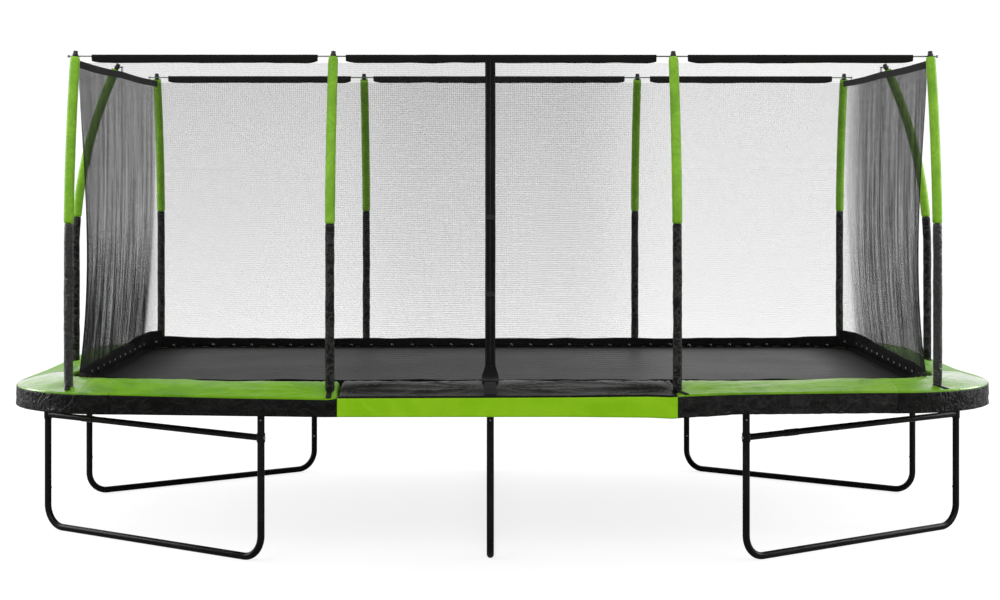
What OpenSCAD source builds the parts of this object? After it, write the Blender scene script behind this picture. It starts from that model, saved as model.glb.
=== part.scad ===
/*
  Rectangular garden trampoline with a safety enclosure.
  Millimetres, Z up. The origin is on the ground, in the middle of the frame.
  X runs along the frame, and the entrance is on the -Y side.
*/

/* [Frame] */
// Length of the rail ring, between tube centres
frame_l = 5180; // [4600:20:6200]
// Width of the rail ring, between tube centres
frame_w = 3010; // [2700:20:3400]
// Bend radius of the corner tubes, at the tube's centre
corner_r = 545; // [480:5:620]
// Height of the rail's centre above the ground
rail_z = 845; // [760:5:1000]
// Outer diameter of rails and legs
tube_d = 38; // [32:1:45]
// Wall of rails and legs
tube_t = 1.5; // [1.2:0.1:2.5]

/* [Legs] */
// Distance of the long-side leg uprights from the middle
leg_x = 1264; // [1000:2:1500]
// Distance of the short-side leg uprights from the middle
leg_y = 560; // [400:2:700]
// Place of the middle leg along the frame
mid_leg_x = -70; // [-300:5:300]
// Bend radius of the base bars, at the tube's centre
base_r = 120; // [90:5:160]
// Height of the joint between base bar and upright
joint_z = 218; // [180:2:300]
// Height of the corner braces
brace_z = 649; // [450:5:700]
// Outer diameter of the braces
brace_d = 34; // [25:1:38]
// Length of the spigot below a leg socket
socket_l = 80; // [60:5:140]

/* [Enclosure] */
// Distance of the outer long-side poles from the end rails
pole_end_gap = 304; // [280:2:420]
// Distance of the inner long-side poles from the middle
pole_x_inner = 909; // [700:2:1100]
// How far the poles stand inside the rail's centre line
pole_inset = 35; // [34:1:45]
// Outer diameter of the pole tubes
pole_d = 25; // [22:1:32]
// Wall of the pole tubes
pole_t = 1.2; // [1:0.1:2]
// Height where the inward bend of a pole starts
bend_z = 1550; // [1300:10:1800]
// Height of the top rods
rod_z = 2652; // [2450:2:2800]
// How far the long-side poles lean in at the top
lean_side = 224; // [120:2:320]
// How far the end poles lean in at the top
lean_end = 244; // [120:2:320]
// Diameter of the top rods
rod_d = 8; // [6:0.5:12]
// Outer diameter of the foam sleeves
foam_d = 52; // [44:1:64]
// Outer diameter of the vinyl sleeves
vinyl_d = 46; // [40:1:60]
// Height where the vinyl sleeve ends and the foam sleeve starts
sleeve_split_z = 1760; // [1600:10:2000]
// Height of the net's top sleeve
hem_h = 43; // [30:1:70]
// How far the net stands inside the poles' tops
net_inset = 34; // [30:1:60]
// Thickness of the net's strands as modelled
net_t = 3; // [2:0.5:5]
// Width of the net's strands as modelled
strand_w = 5; // [3:0.5:8]
// Height of the net's bottom hem
low_hem_h = 62; // [40:2:100]

/* [Entrance] */
// Place of the entrance band along the front
door_x = -70; // [-400:5:400]
// Width of the entrance band
door_w = 56; // [40:1:90]
// Width of a buckle
buckle_w = 34; // [25:1:45]

/* [Bed] */
// Gap between the rail's centre line and the mat's edge
spring_gap = 232; // [210:2:300]
// Height of the mat's underside above the rail's centre
mat_rise = 12; // [5:1:25]
// Thickness of the mat
mat_t = 3; // [2:0.5:5]
// Width of the mat's sewn border
border_w = 90; // [80:1:110]
// Springs along a straight long side
springs_long = 32; // [24:1:40]
// Springs along a straight short side
springs_short = 14; // [10:1:20]
// Springs around each corner
springs_corner = 4; // [3:1:6]
// Outer diameter of a spring's coil
spring_d = 24; // [18:1:30]
// Wire of a spring
wire_d = 3; // [2.5:0.1:4]

/* [Pads] */
// How far the pads reach outside the rail's centre line
pad_out = 60; // [45:1:80]
// Width of the pads
pad_w = 300; // [270:2:340]
// Distance of the middle pads' left ends from the middle
seam_left = 864; // [780:2:960]
// Distance of the middle pads' right ends from the middle
seam_right = 902; // [780:2:960]
// Height of a pad's crown above its outer edge
pad_crown = 66; // [40:1:90]
// Height of the skirt, the pad's outer edge included
skirt_h = 98; // [60:2:160]
// Thickness of the skirt
skirt_t = 3; // [2:0.5:5]

/* [Hidden] */
// What fits in or passes another piece has this clearance all round
fit = 0.3;
// Facets of large, middling and small rounds
fine = 128;
mid = 48;
low = 24;

half_l = frame_l / 2;
half_w = frame_w / 2;
// Corner centres, which the rails, the pads and the mat share
cx = half_l - corner_r;
cy = half_w - corner_r;
rail_top = rail_z + tube_d / 2;

// A swaged end: a short full-size neck, then a spigot that fits into the next tube
neck = 4;
spigot_l = 50;
pole_spigot_l = 30;

// The uprights hang on sockets that are welded under the rails
collar_drop = 14;
collar_z = rail_z - tube_d / 2 - collar_drop;
upright_top = collar_z - neck - fit;
screw_z = upright_top - socket_l + collar_drop;
base_screw_z = joint_z + 16;
screw_d = 5;
bolt_d = 8;

// The bed sits inside the rails, round the same corner centres
mat_x = half_l - spring_gap;
mat_y = half_w - spring_gap;
mat_r = corner_r - spring_gap;
mat_z = rail_z + mat_rise;
mat_top = mat_z + mat_t;
border_t = 1.5;
ring_wire = 4;
ring_d = 30;
hook_rise = 8;
hook_hole_d = 4;

// Poles stand just inside the rails. The outer ones stand inside the corner tubes.
pole_row_y = half_w - pole_inset;
pole_end_x = half_l - pole_inset;
pole_x_outer = half_l - pole_end_gap;
outer_pole_y = cy + sqrt(pow(corner_r - pole_inset, 2) - pow(max(0, pole_x_outer - cx), 2));
pole_top_y = pole_row_y - lean_side;
pole_top_x = pole_end_x - lean_end;
pole_socket_wall = 2.5;
pole_socket_d = pole_d + 2 * fit + 2 * pole_socket_wall;
pole_socket_top = rail_top - 2;
pole_socket_h = 95;
pole_end_drop = 4;
bend_h = rod_z - pole_end_drop - bend_z;
foam_gap = 6;

// Each pole is [x, y, direction of its lean, length of its lean]
POLES = [
    for (side = [-1, 1], x = [-pole_x_outer, -pole_x_inner, pole_x_inner, pole_x_outer])
        let (y = abs(x) == pole_x_outer ? outer_pole_y : pole_row_y)
        [x, side * y, -90 * side, y - pole_top_y],
    for (side = [-1, 1]) [side * pole_end_x, 0, 90 + 90 * side, pole_end_x - pole_top_x]
];

// The net hangs in upright planes inside the poles' tops
net_y = pole_top_y - net_inset;
net_x = pole_top_x - net_inset;
tie_h = 16;
net_z = mat_top + border_t + tie_h;
hem_over = rod_d / 2 + 3;
net_top = rod_z + hem_over - hem_h;
strap_top = rod_z - 22;
strap_h = 35;
strap_t = 4;

// The entrance band runs down the outer side of the front net
band_t = 3;
band_y = -net_y - net_t / 2 - fit - band_t;

// The pads lie on the rails and the springs, and stay clear of the nets and the band
pad_reach = min(pad_w, half_w + pad_out + band_y - fit, half_l + pad_out - net_x - net_t / 2 - fit);
pad_z = max(rail_top, rail_z + hook_rise + spring_d / 2) + fit;
pad_edge_z = rail_z + 13;
pad_lip_z = rail_z + 1;
pad_outer_r = corner_r + pad_out;
skirt_z = pad_edge_z - skirt_h;
seam_gap = 2;
slot_d = pole_d + 8;

// Height of a pad's top at a share of its width, from the outer edge
crown_turn = 115;
crown_ease = 1.1;
function crown(share) = pad_edge_z + pad_crown * sin(crown_turn * pow(share, crown_ease));

// The vinyl sleeves start just above the pads
vinyl_z = crown((pad_out + pole_inset + vinyl_d / 2) / pad_reach) + 3;

// ---- Shared shapes ----

// A round tube along +Z
module tube(d, t, h) {
    difference() {
        cylinder(d = d, h = h, $fn = mid);
        translate([0, 0, -1]) cylinder(d = d - 2 * t, h = h + 2, $fn = mid);
    }
}

// A bent tube in the XY plane, round the Z axis
module bent_tube(r, d, t, angle, steps = fine) {
    rotate_extrude(angle = angle, $fn = steps) translate([r, 0]) difference() {
        circle(d = d, $fn = mid);
        circle(d = d - 2 * t, $fn = mid);
    }
}

// The swaged end of a tube along +Z, with its spigot
module spigot(d, t, h) {
    inner_d = d - 2 * t - 2 * fit;
    difference() {
        union() {
            cylinder(d = d, h = neck, $fn = mid);
            cylinder(d = inner_d, h = neck + h, $fn = mid);
        }
        translate([0, 0, -1]) cylinder(d = inner_d - 2 * t, h = neck + h + 2, $fn = mid);
    }
}

// Four corners: child is drawn for the quadrant of +X and +Y, round the corner's centre
module at_corner(sx, sy) {
    translate([sx * cx, sy * cy, 0]) mirror([sx < 0 ? 1 : 0, 0, 0]) mirror([0, sy < 0 ? 1 : 0, 0]) children();
}

// ---- Rails ----

// Angle of a spring on a corner, from +X
function corner_angle(i) = 90 * (i + 0.5) / springs_corner;

// Evenly spread places between -half and half
function spread(n, half) = [for (i = [0:n - 1]) half * (2 * (i + 0.5) / n - 1)];

// The hole of a spring's hook, along +Y from a rail's centre
module hook_hole() {
    translate([0, 0, hook_rise]) rotate([-90, 0, 0]) cylinder(d = hook_hole_d, h = tube_d, $fn = low);
}

// A straight rail along +X, between two points
module rail(first, last) {
    translate([first, 0, 0]) rotate([0, 90, 0]) tube(tube_d, tube_t, last - first);
}

// One half of a long side: the left half carries the spigot of the middle joint
module long_rail(side, left) {
    end = cx - neck - fit;
    first = left ? -end : mid_leg_x + fit;
    last = left ? mid_leg_x - neck : end;
    rail_color() translate([0, side * half_w, rail_z]) mirror([0, side > 0 ? 1 : 0, 0]) difference() {
        union() {
            rail(first, last);
            if (left) translate([last, 0, 0]) rotate([0, 90, 0]) spigot(tube_d, tube_t, spigot_l);
        }
        for (x = spread(springs_long, cx))
            if (x > first && x < last + neck + spigot_l) translate([x, 0, 0]) hook_hole();
    }
}

module short_rail(side) {
    end = cy - neck - fit;
    rail_color() translate([side * half_l, 0, rail_z]) rotate([0, 0, 90 * side]) difference() {
        rail(-end, end);
        for (x = spread(springs_short, cy)) translate([x, 0, 0]) hook_hole();
    }
}

module corner_tube(sx, sy) {
    rail_color() at_corner(sx, sy) translate([0, 0, rail_z]) {
        difference() {
            bent_tube(corner_r, tube_d, tube_t, 90);
            for (i = [0:springs_corner - 1])
                rotate([0, 0, corner_angle(i)]) translate([corner_r, 0, 0]) rotate([0, 0, 90]) hook_hole();
        }
        difference() {
            translate([corner_r, 0, 0]) rotate([90, 0, 0]) spigot(tube_d, tube_t, spigot_l);
            translate([corner_r, -cy / springs_short, 0]) rotate([0, 0, 90]) hook_hole();
        }
        difference() {
            translate([0, corner_r, 0]) rotate([0, -90, 0]) spigot(tube_d, tube_t, spigot_l);
            translate([-cx / springs_long, corner_r, 0]) rotate([0, 0, 180]) hook_hole();
        }
    }
}

module rail_color() { color([0.08, 0.08, 0.085]) children(); }

// ---- Legs ----

// Feet of the five legs: each leg is [first upright, second upright]
LEGS = [
    [[-half_l, -leg_y], [-leg_x, -half_w]],
    [[leg_x, -half_w], [half_l, -leg_y]],
    [[-leg_x, half_w], [-half_l, leg_y]],
    [[half_l, leg_y], [leg_x, half_w]],
    [[mid_leg_x, -half_w], [mid_leg_x, half_w]]
];
function leg_length(leg) = norm(leg[1] - leg[0]);
function leg_angle(leg) = atan2(leg[1][1] - leg[0][1], leg[1][0] - leg[0][0]);

// Stands children at the first upright of a leg, with +X towards the second
module at_leg(leg) {
    translate([leg[0][0], leg[0][1], 0]) rotate([0, 0, leg_angle(leg)]) children();
}

// Stands children at both uprights of a leg, with +X towards the other one
module at_uprights(leg) {
    at_leg(leg) {
        children();
        translate([leg_length(leg), 0, 0]) rotate([0, 0, 180]) children();
    }
}

// Outward direction at a foot, square to its rail
function outward(foot) = abs(foot[1]) == half_w ? 90 * sign(foot[1]) : 90 - 90 * sign(foot[0]);

// Stands children at a foot, with +X outwards
module at_foot(foot) {
    translate([foot[0], foot[1], 0]) rotate([0, 0, outward(foot)]) children();
}

// The holes for an upright's two screws: the lower one on its inner side, the upper one on its outer side
module screw_holes() {
    for (screw = [[base_screw_z, -90], [screw_z, 90]])
        translate([0, 0, screw[0]]) rotate([0, screw[1], 0])
            cylinder(d = screw_d + 2 * fit, h = tube_d, $fn = low);
}

// A base bar: one tube with both ends bent up, and a spigot on each
module leg_base(leg) {
    long = leg_length(leg);
    rail_color() {
        at_leg(leg) {
            translate([base_r, 0, tube_d / 2]) rotate([0, 90, 0]) tube(tube_d, tube_t, long - 2 * base_r);
            for (end = [0, 1])
                translate([end * long, 0, 0]) mirror([end, 0, 0]) {
                    translate([base_r, 0, tube_d / 2 + base_r]) rotate([90, 0, 0]) rotate([0, 0, 180])
                        bent_tube(base_r, tube_d, tube_t, 90);
                    translate([0, 0, tube_d / 2 + base_r])
                        tube(tube_d, tube_t, joint_z - neck - tube_d / 2 - base_r);
                }
        }
        for (foot = leg) at_foot(foot) difference() {
            translate([0, 0, joint_z - neck]) spigot(tube_d, tube_t, spigot_l);
            screw_holes();
        }
    }
}

module leg_uprights() {
    rail_color() for (leg = LEGS, foot = leg) at_foot(foot) difference() {
        translate([0, 0, joint_z + fit]) tube(tube_d, tube_t, upright_top - joint_z - fit);
        screw_holes();
    }
}

// A socket: a saddle under the rail, a neck and a spigot that the upright slides over
module leg_sockets() {
    rail_color() for (leg = LEGS, foot = leg) at_foot(foot) difference() {
        union() {
            translate([0, 0, collar_z]) mirror([0, 0, 1]) spigot(tube_d, tube_t, socket_l);
            translate([0, 0, collar_z - neck]) tube(tube_d, 2 * tube_t, rail_z - collar_z + neck);
        }
        translate([0, 0, rail_z]) rotate([90, 0, 0])
            cylinder(d = tube_d + 2 * fit, h = 4 * tube_d, center = true, $fn = mid);
        screw_holes();
    }
}

// A pan-head screw through an upright's outer wall
module leg_screw(z) {
    head_d = 10;
    head_h = 3;
    translate([tube_d / 2 + 0.5, 0, z]) {
        rotate([0, -90, 0]) cylinder(d = screw_d, h = 10, $fn = low);
        rotate([0, 90, 0]) cylinder(d1 = head_d, d2 = head_d - 3, h = head_h, $fn = low);
    }
}

// The upper screw holds an upright on its socket, and the lower one holds it on its base bar
module leg_screws() {
    color([0.55, 0.55, 0.55]) for (leg = LEGS, foot = leg) at_foot(foot) {
        leg_screw(screw_z);
        rotate([0, 0, 180]) leg_screw(base_screw_z);
    }
}

// ---- Corner braces ----

clamp_t = 3;
clamp_h = 46;
clamp_r = tube_d / 2 + fit + clamp_t;

// A brace runs between the clamps of a corner leg, coped to fit them
module brace(leg) {
    long = leg_length(leg);
    rail_color() at_leg(leg) translate([0, 0, brace_z]) difference() {
        rotate([0, 90, 0]) tube(brace_d, tube_t, long);
        for (x = [0, long])
            translate([x, 0, 0]) cylinder(r = clamp_r + fit, h = 2 * clamp_h, center = true, $fn = mid);
        for (x = [0, long])
            translate([x, 0, 0]) rotate([0, 90, 0])
                cylinder(d = bolt_d + 2 * fit, h = 4 * clamp_r, center = true, $fn = low);
    }
}

// The sleeve that joins the two lengths of a brace
coupling_at = 0.2;
coupling_l = 92;
module brace_couplings() {
    rail_color() for (leg = [for (i = [0:3]) LEGS[i]]) at_leg(leg)
        translate([coupling_at * leg_length(leg) - coupling_l / 2, 0, brace_z]) rotate([0, 90, 0])
        tube(brace_d + 2 * fit + 2 * tube_t, tube_t, coupling_l);
}

// A band round each upright that the brace is bolted to
module brace_clamps() {
    rail_color() for (leg = [for (i = [0:3]) LEGS[i]]) at_uprights(leg)
        translate([0, 0, brace_z - clamp_h / 2]) difference() {
            tube(2 * clamp_r, clamp_t, clamp_h);
            translate([0, 0, clamp_h / 2]) rotate([0, 90, 0])
                cylinder(d = bolt_d + 2 * fit, h = 4 * clamp_r, center = true, $fn = low);
        }
}

// A button-head bolt on the outer side of each clamp
module brace_bolts() {
    color([0.5, 0.5, 0.5]) for (leg = [for (i = [0:3]) LEGS[i]]) at_uprights(leg)
        translate([-clamp_r - fit, 0, brace_z]) rotate([0, -90, 0]) {
            cylinder(d = 1.8 * bolt_d, h = 4, $fn = low);
            translate([0, 0, -clamp_t]) cylinder(d = bolt_d, h = clamp_t, $fn = low);
        }
}

// ---- Enclosure poles ----

function bend_radius(lean) = (bend_h * bend_h + lean * lean) / (2 * lean);
function bend_angle_at(z, r) = asin((z - bend_z) / r);

// Stands children at each pole, with +X along the direction of its lean
module at_poles() {
    for (pole = POLES) {
        $lean = pole[3];
        translate([pole[0], pole[1], 0]) rotate([0, 0, pole[2]]) children();
    }
}

// Turns children so that +Z runs along the pole at its top end
module at_pole_top() {
    angle = bend_angle_at(bend_z + bend_h, bend_radius($lean));
    translate([$lean, 0, bend_z + bend_h]) rotate([0, angle, 0]) children();
}

// A stretch of tube along the bend of a pole, between two heights
module along_bend(d, t, from, to) {
    r = bend_radius($lean);
    start = bend_angle_at(from, r);
    stop = bend_angle_at(to, r);
    translate([r, 0, bend_z]) rotate([90, 0, 0]) rotate([0, 0, 180 - stop])
        bent_tube(r, d, t, stop - start, 3 * fine);
}

module pole_sockets() {
    rail_color() for (pole = POLES) {
        at_end = pole[1] == 0;
        in_corner = abs(pole[0]) > cx && !at_end;
        difference() {
            translate([pole[0], pole[1], pole_socket_top - pole_socket_h])
                cylinder(d = pole_socket_d, h = pole_socket_h, $fn = mid);
            translate([pole[0], pole[1], pole_socket_top - pole_socket_h + pole_socket_wall])
                cylinder(d = pole_d + 2 * fit, h = pole_socket_h, $fn = mid);
            if (in_corner)
                translate([sign(pole[0]) * cx, sign(pole[1]) * cy, rail_z]) rotate_extrude($fn = fine)
                    translate([corner_r, 0]) circle(d = tube_d + 2 * fit, $fn = mid);
            else
                translate([at_end ? sign(pole[0]) * half_l : pole[0], sign(pole[1]) * half_w, rail_z])
                    rotate(at_end ? [90, 0, 0] : [0, 90, 0])
                    cylinder(d = tube_d + 2 * fit, h = 4 * tube_d, center = true, $fn = mid);
        }
    }
}

module pole_lower_tubes() {
    foot = pole_socket_top - pole_socket_h + pole_socket_wall + fit;
    rail_color() at_poles() {
        translate([0, 0, foot]) tube(pole_d, pole_t, bend_z - neck - foot);
        translate([0, 0, bend_z - neck]) spigot(pole_d, pole_t, pole_spigot_l);
    }
}

// The upper tubes are bent over their whole length, and start on the lower ones' spigots
module pole_upper_tubes() {
    rail_color() at_poles() along_bend(pole_d, pole_t, bend_z + fit, bend_z + bend_h);
}

// The black vinyl sleeve covers the straight part and the start of the bend. Its straight length is a little
// wider and overlaps the bent length.
module vinyl_sleeves() {
    wall = (vinyl_d - pole_d) / 2 - fit;
    overlap = 3;
    color([0.09, 0.09, 0.085]) at_poles() {
        translate([0, 0, vinyl_z]) tube(vinyl_d + 1, wall, bend_z + overlap - vinyl_z);
        along_bend(vinyl_d, wall, bend_z, sleeve_split_z);
    }
}

// The green foam sleeve covers the rest of the bend
module foam_sleeves() {
    wall = (foam_d - pole_d) / 2 - fit;
    color([0.48, 0.74, 0.18]) at_poles()
        along_bend(foam_d, wall, sleeve_split_z + seam_gap, bend_z + bend_h - foam_gap);
}

// A mushroom cap on each pole: a plug in the tube, a neck for the hook's band, and a round head
cap_d = pole_d + 12;
cap_neck = 28;
module pole_caps() {
    plug_d = pole_d - 2 * pole_t - 2 * fit;
    plug_h = 24;
    color([0.07, 0.07, 0.07]) at_poles() at_pole_top() {
        translate([0, 0, -plug_h]) cylinder(d = plug_d, h = plug_h + fit, $fn = mid);
        translate([0, 0, fit]) cylinder(d = pole_d, h = cap_neck, $fn = mid);
        translate([0, 0, fit + cap_neck]) rotate_extrude($fn = mid) intersection() {
            translate([0, -cap_d / 4]) scale([1, 0.75]) circle(d = cap_d, $fn = mid);
            square([cap_d, cap_d]);
        }
    }
}

// A hook on each pole: a band round the cap's neck and an arm. On the long sides it ends in an eye for the
// rod. At the ends it has a plate behind the strap and a short lip in front of it.
module pole_hooks() {
    band_h = 12;
    arm_w = 6;
    arm_h = 7;
    arm_z = rod_z + 1;
    plate_t = 3;
    lip_h = 14;
    band_d = pole_d + 2 * fit + 6;
    eye_d = rod_d + 2 * fit + 8;
    color([0.07, 0.07, 0.07]) for (pole = POLES) {
        $lean = pole[3];
        at_end = pole[1] == 0;
        reach = at_end ? net_inset - strap_t / 2 - fit : net_inset;
        translate([pole[0], pole[1], 0]) rotate([0, 0, pole[2]]) difference() {
            union() {
                at_pole_top() translate([0, 0, fit + 2]) cylinder(d = band_d, h = band_h, $fn = mid);
                translate([$lean + pole_d / 2, -arm_w / 2, arm_z]) cube([reach - pole_d / 2, arm_w, arm_h]);
                if (at_end) {
                    translate([$lean + reach - plate_t, -arm_w / 2, strap_top - strap_h])
                        cube([plate_t, arm_w, arm_z + arm_h - strap_top + strap_h]);
                    translate([$lean + reach - plate_t, -arm_w / 2, arm_z])
                        cube([strap_t + 2 * fit + 2 * plate_t, arm_w, arm_h]);
                    translate([$lean + reach + strap_t + 2 * fit, -arm_w / 2, strap_top - lip_h])
                        cube([plate_t, arm_w, arm_z + arm_h - strap_top + lip_h]);
                } else
                    translate([$lean + net_inset, 0, rod_z]) rotate([90, 0, 0])
                        cylinder(d = eye_d, h = arm_w, center = true, $fn = mid);
            }
            at_pole_top() translate([0, 0, -pole_d])
                cylinder(d = pole_d + 2 * fit, h = 3 * pole_d, $fn = mid);
            if (!at_end)
                translate([$lean + net_inset, 0, rod_z]) rotate([90, 0, 0])
                    cylinder(d = rod_d + 2 * fit, h = 3 * arm_w, center = true, $fn = mid);
        }
    }
}

// ---- Top of the enclosure ----

rod_over = 52;

// A straight rod with a ball end outside each corner pole
module top_rod(side) {
    half = net_x + rod_over;
    color([0.62, 0.62, 0.62]) translate([0, side * net_y, rod_z]) {
        rotate([0, 90, 0]) cylinder(d = rod_d, h = 2 * half, center = true, $fn = low);
        for (end = [-half, half]) translate([end, 0, 0]) sphere(d = 2 * rod_d, $fn = low);
    }
}

// A webbing strap along the top of an end net
module top_strap(side) {
    half = net_y - net_t;
    color([0.1, 0.1, 0.1]) translate([side * net_x - strap_t / 2, -half, strap_top - strap_h])
        cube([strap_t, 2 * half, strap_h]);
}

// ---- Net ----

pole_gap = 80;
columns_long = 14;
columns_short = 8;
rows = 6;

// Where the net's hem steps over a corner pad, from a net plane's distance to the corner's centre
function step_at(centre, off) = centre + sqrt(pow(pad_outer_r - pad_reach, 2) - pow(off, 2)) - 4;
step_h = crown(1) + 4 - net_z;

// A flat lattice of strands in the XZ plane, from net_z to a top height
module lattice(half, columns, top, step_from) {
    height = top - net_z;
    translate([0, net_t / 2, net_z]) rotate([90, 0, 0]) linear_extrude(net_t) difference() {
        translate([-half, 0]) square([2 * half, height]);
        for (end = [0, 1]) mirror([end, 0]) translate([step_from, -1]) square([half, step_h + 1]);
        step_x = (2 * half - strand_w) / columns;
        step_z = (height - low_hem_h - strand_w) / rows;
        for (i = [0:columns - 1], j = [0:rows - 1])
            translate([-half + strand_w + i * step_x, low_hem_h + j * step_z])
                square([step_x - strand_w, step_z - strand_w]);
    }
}

// The sleeve that wraps the rod between two poles, sewn to the net below it
module hem(from, to) {
    low_edge = fit - hem_h + hem_over;
    difference() {
        translate([from, 0, rod_z]) rotate([90, 0, 90]) linear_extrude(to - from) {
            circle(r = hem_over, $fn = low);
            polygon([[-rod_d / 2, 0], [rod_d / 2, 0], [net_t / 2, low_edge], [-net_t / 2, low_edge]]);
        }
        translate([from - 1, 0, rod_z]) rotate([0, 90, 0])
            cylinder(d = rod_d + 2 * fit, h = to - from + 2, $fn = low);
    }
}

module long_net(side) {
    color([0.12, 0.12, 0.12]) translate([0, side * net_y, 0]) {
        lattice(net_x + net_t / 2, columns_long, net_top, step_at(cx, net_y - cy));
        hem(-pole_x_outer + pole_gap, -pole_x_inner - pole_gap);
        hem(-pole_x_inner + pole_gap, pole_x_inner - pole_gap);
        hem(pole_x_inner + pole_gap, pole_x_outer - pole_gap);
    }
}

module end_net(side) {
    color([0.12, 0.12, 0.12]) translate([side * net_x, 0, 0]) rotate([0, 0, 90])
        lattice(net_y - net_t / 2 - fit, columns_short, strap_top - strap_h - fit, step_at(cy, net_x - cx));
}

// ---- Entrance ----

flare_w = 90;
flare_h = 120;
tail_w = 64;
tail_h = 28;
buckle_upper_z = 1790;
buckle_lower_z = 1378;
buckle_h = 26;
buckle_t = 9;
prong_w = 7;
prong_t = 4;
prong_l = 20;
prong_gap = 6;
plug_l = 16;

// A strip of webbing over the join of the net's two door edges. It widens above the hem, and ends in a tail.
module entrance_band() {
    right = [[tail_w, 0], [tail_w, tail_h], [flare_w - 8, tail_h + 8], [flare_w, flare_h / 2],
        [door_w, flare_h], [door_w, net_top - net_z]];
    left = [for (i = [len(right) - 1:-1:0]) [-right[i][0], right[i][1]]];
    color([0.08, 0.08, 0.08]) translate([door_x, band_y + band_t, net_z]) rotate([90, 0, 0])
        linear_extrude(band_t) scale([0.5, 1]) polygon(concat(right, left));
}

// Half a buckle on the band, with a slot for the prongs of the other half
module buckle_sockets() {
    color([0.05, 0.05, 0.05]) for (z = [buckle_lower_z, buckle_upper_z])
        translate([door_x - 4, band_y - fit - buckle_t, z - buckle_h / 2]) difference() {
            cube([buckle_w - 4, buckle_t, buckle_h]);
            translate([-1, (buckle_t - prong_t) / 2 - fit, buckle_h / 2 - prong_gap / 2 - prong_w - fit])
                cube([prong_l + 2, prong_t + 2 * fit, prong_gap + 2 * prong_w + 2 * fit]);
        }
}

// The other half of a buckle: a plate with two prongs
module buckle_plug(z) {
    color([0.05, 0.05, 0.05]) translate([door_x - 4, band_y - fit - buckle_t, z]) {
        translate([-plug_l - fit, 0, -buckle_h / 2]) cube([plug_l, buckle_t, buckle_h]);
        for (s = [-1, 1])
            translate([-plug_l / 2, (buckle_t - prong_t) / 2, s * (prong_gap + prong_w) / 2 - prong_w / 2])
                cube([plug_l / 2 + prong_l, prong_t, prong_w]);
    }
}

// The slider runs on the inner side of the net, clear of the buckles
zip_w = 26;
zip_t = 1.5;
teeth_w = 6;
zip_y = -net_y + net_t / 2 + fit;
slider_z = net_z + 70;

module zip_tape() {
    color([0.1, 0.1, 0.1]) translate([door_x, zip_y, net_z]) {
        translate([-zip_w / 2, 0, 0]) cube([zip_w, zip_t, net_top - net_z]);
        translate([-teeth_w / 2, 0, 0]) cube([teeth_w, 2 * zip_t, net_top - net_z]);
    }
}

module zip_slider() {
    body_w = 13;
    body_h = 18;
    color([0.3, 0.3, 0.3]) translate([door_x, zip_y + zip_t + fit, slider_z]) difference() {
        union() {
            translate([-body_w / 2, 0, 0]) cube([body_w, 2 * zip_t + 4, body_h]);
            translate([-3, 2 * zip_t + 1, -22]) cube([6, 2, 32]);
        }
        translate([-teeth_w / 2 - fit, -1, -30]) cube([teeth_w + 2 * fit, zip_t + 1 + fit, body_h + 60]);
    }
}

// ---- Pads ----

crown_steps = 14;
inner_round = 16;

// Section of a pad: first number from the outer edge inwards, second number up
module pad_section() {
    polygon(concat(
        [[0, pad_lip_z]],
        [for (i = [0:crown_steps]) let (s = i / crown_steps) [s * (pad_reach - inner_round), crown(s)]],
        [for (a = [60:-30:-60]) [pad_reach - inner_round + inner_round * cos(a),
            (crown(1) + pad_z) / 2 + (crown(1) - pad_z) / 2 * sin(a)]],
        [[pad_reach - inner_round, pad_z], [pad_out - 16, pad_z], [pad_out - 34, pad_lip_z + 4]]
    ));
}

// Section of the skirt that hangs under a pad's outer edge
module skirt_section() {
    translate([2, skirt_z]) square([skirt_t, pad_lip_z - fit - skirt_z]);
}

// Children are drawn in a section and swept along a straight side
module along_side(from, to) {
    translate([from, 0, 0]) rotate([90, 0, 90]) linear_extrude(to - from) children();
}

module pole_slots() {
    for (pole = POLES) translate([pole[0], pole[1], 0]) cylinder(d = slot_d, h = 2 * rail_z, $fn = mid);
}

module long_pad(side, from, to) {
    difference() {
        mirror([0, side > 0 ? 1 : 0, 0]) translate([0, -half_w - pad_out, 0]) {
            along_side(from, to) pad_section();
            along_side(from, to) skirt_section();
        }
        pole_slots();
    }
}

// The pads of a long side: one in the middle, and one towards each end
module middle_pad(side) {
    color(pad_black) long_pad(side, -seam_left + seam_gap / 2, seam_right - seam_gap / 2);
}

module left_pad(side) {
    color(pad_green) long_pad(side, -cx + seam_gap / 2, -seam_left - seam_gap / 2);
}

module right_pad(side) {
    color(pad_green) long_pad(side, seam_right + seam_gap / 2, cx - seam_gap / 2);
}

module end_pad(side) {
    color(pad_green) difference() {
        mirror([side > 0 ? 1 : 0, 0, 0]) rotate([0, 0, -90]) translate([0, -half_l - pad_out, 0]) {
            along_side(-cy + seam_gap / 2, cy - seam_gap / 2) pad_section();
            along_side(-cy + seam_gap / 2, cy - seam_gap / 2) skirt_section();
        }
        pole_slots();
    }
}

module corner_pads() {
    color(pad_green) difference() {
        for (sx = [-1, 1], sy = [-1, 1]) at_corner(sx, sy) rotate_extrude(angle = 90, $fn = fine) {
            translate([pad_outer_r, 0]) mirror([1, 0]) pad_section();
            translate([pad_outer_r, 0]) mirror([1, 0]) skirt_section();
        }
        pole_slots();
    }
}

pad_green = [0.42, 0.65, 0.1];
pad_black = [0.14, 0.14, 0.14];

// ---- Bed ----

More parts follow.
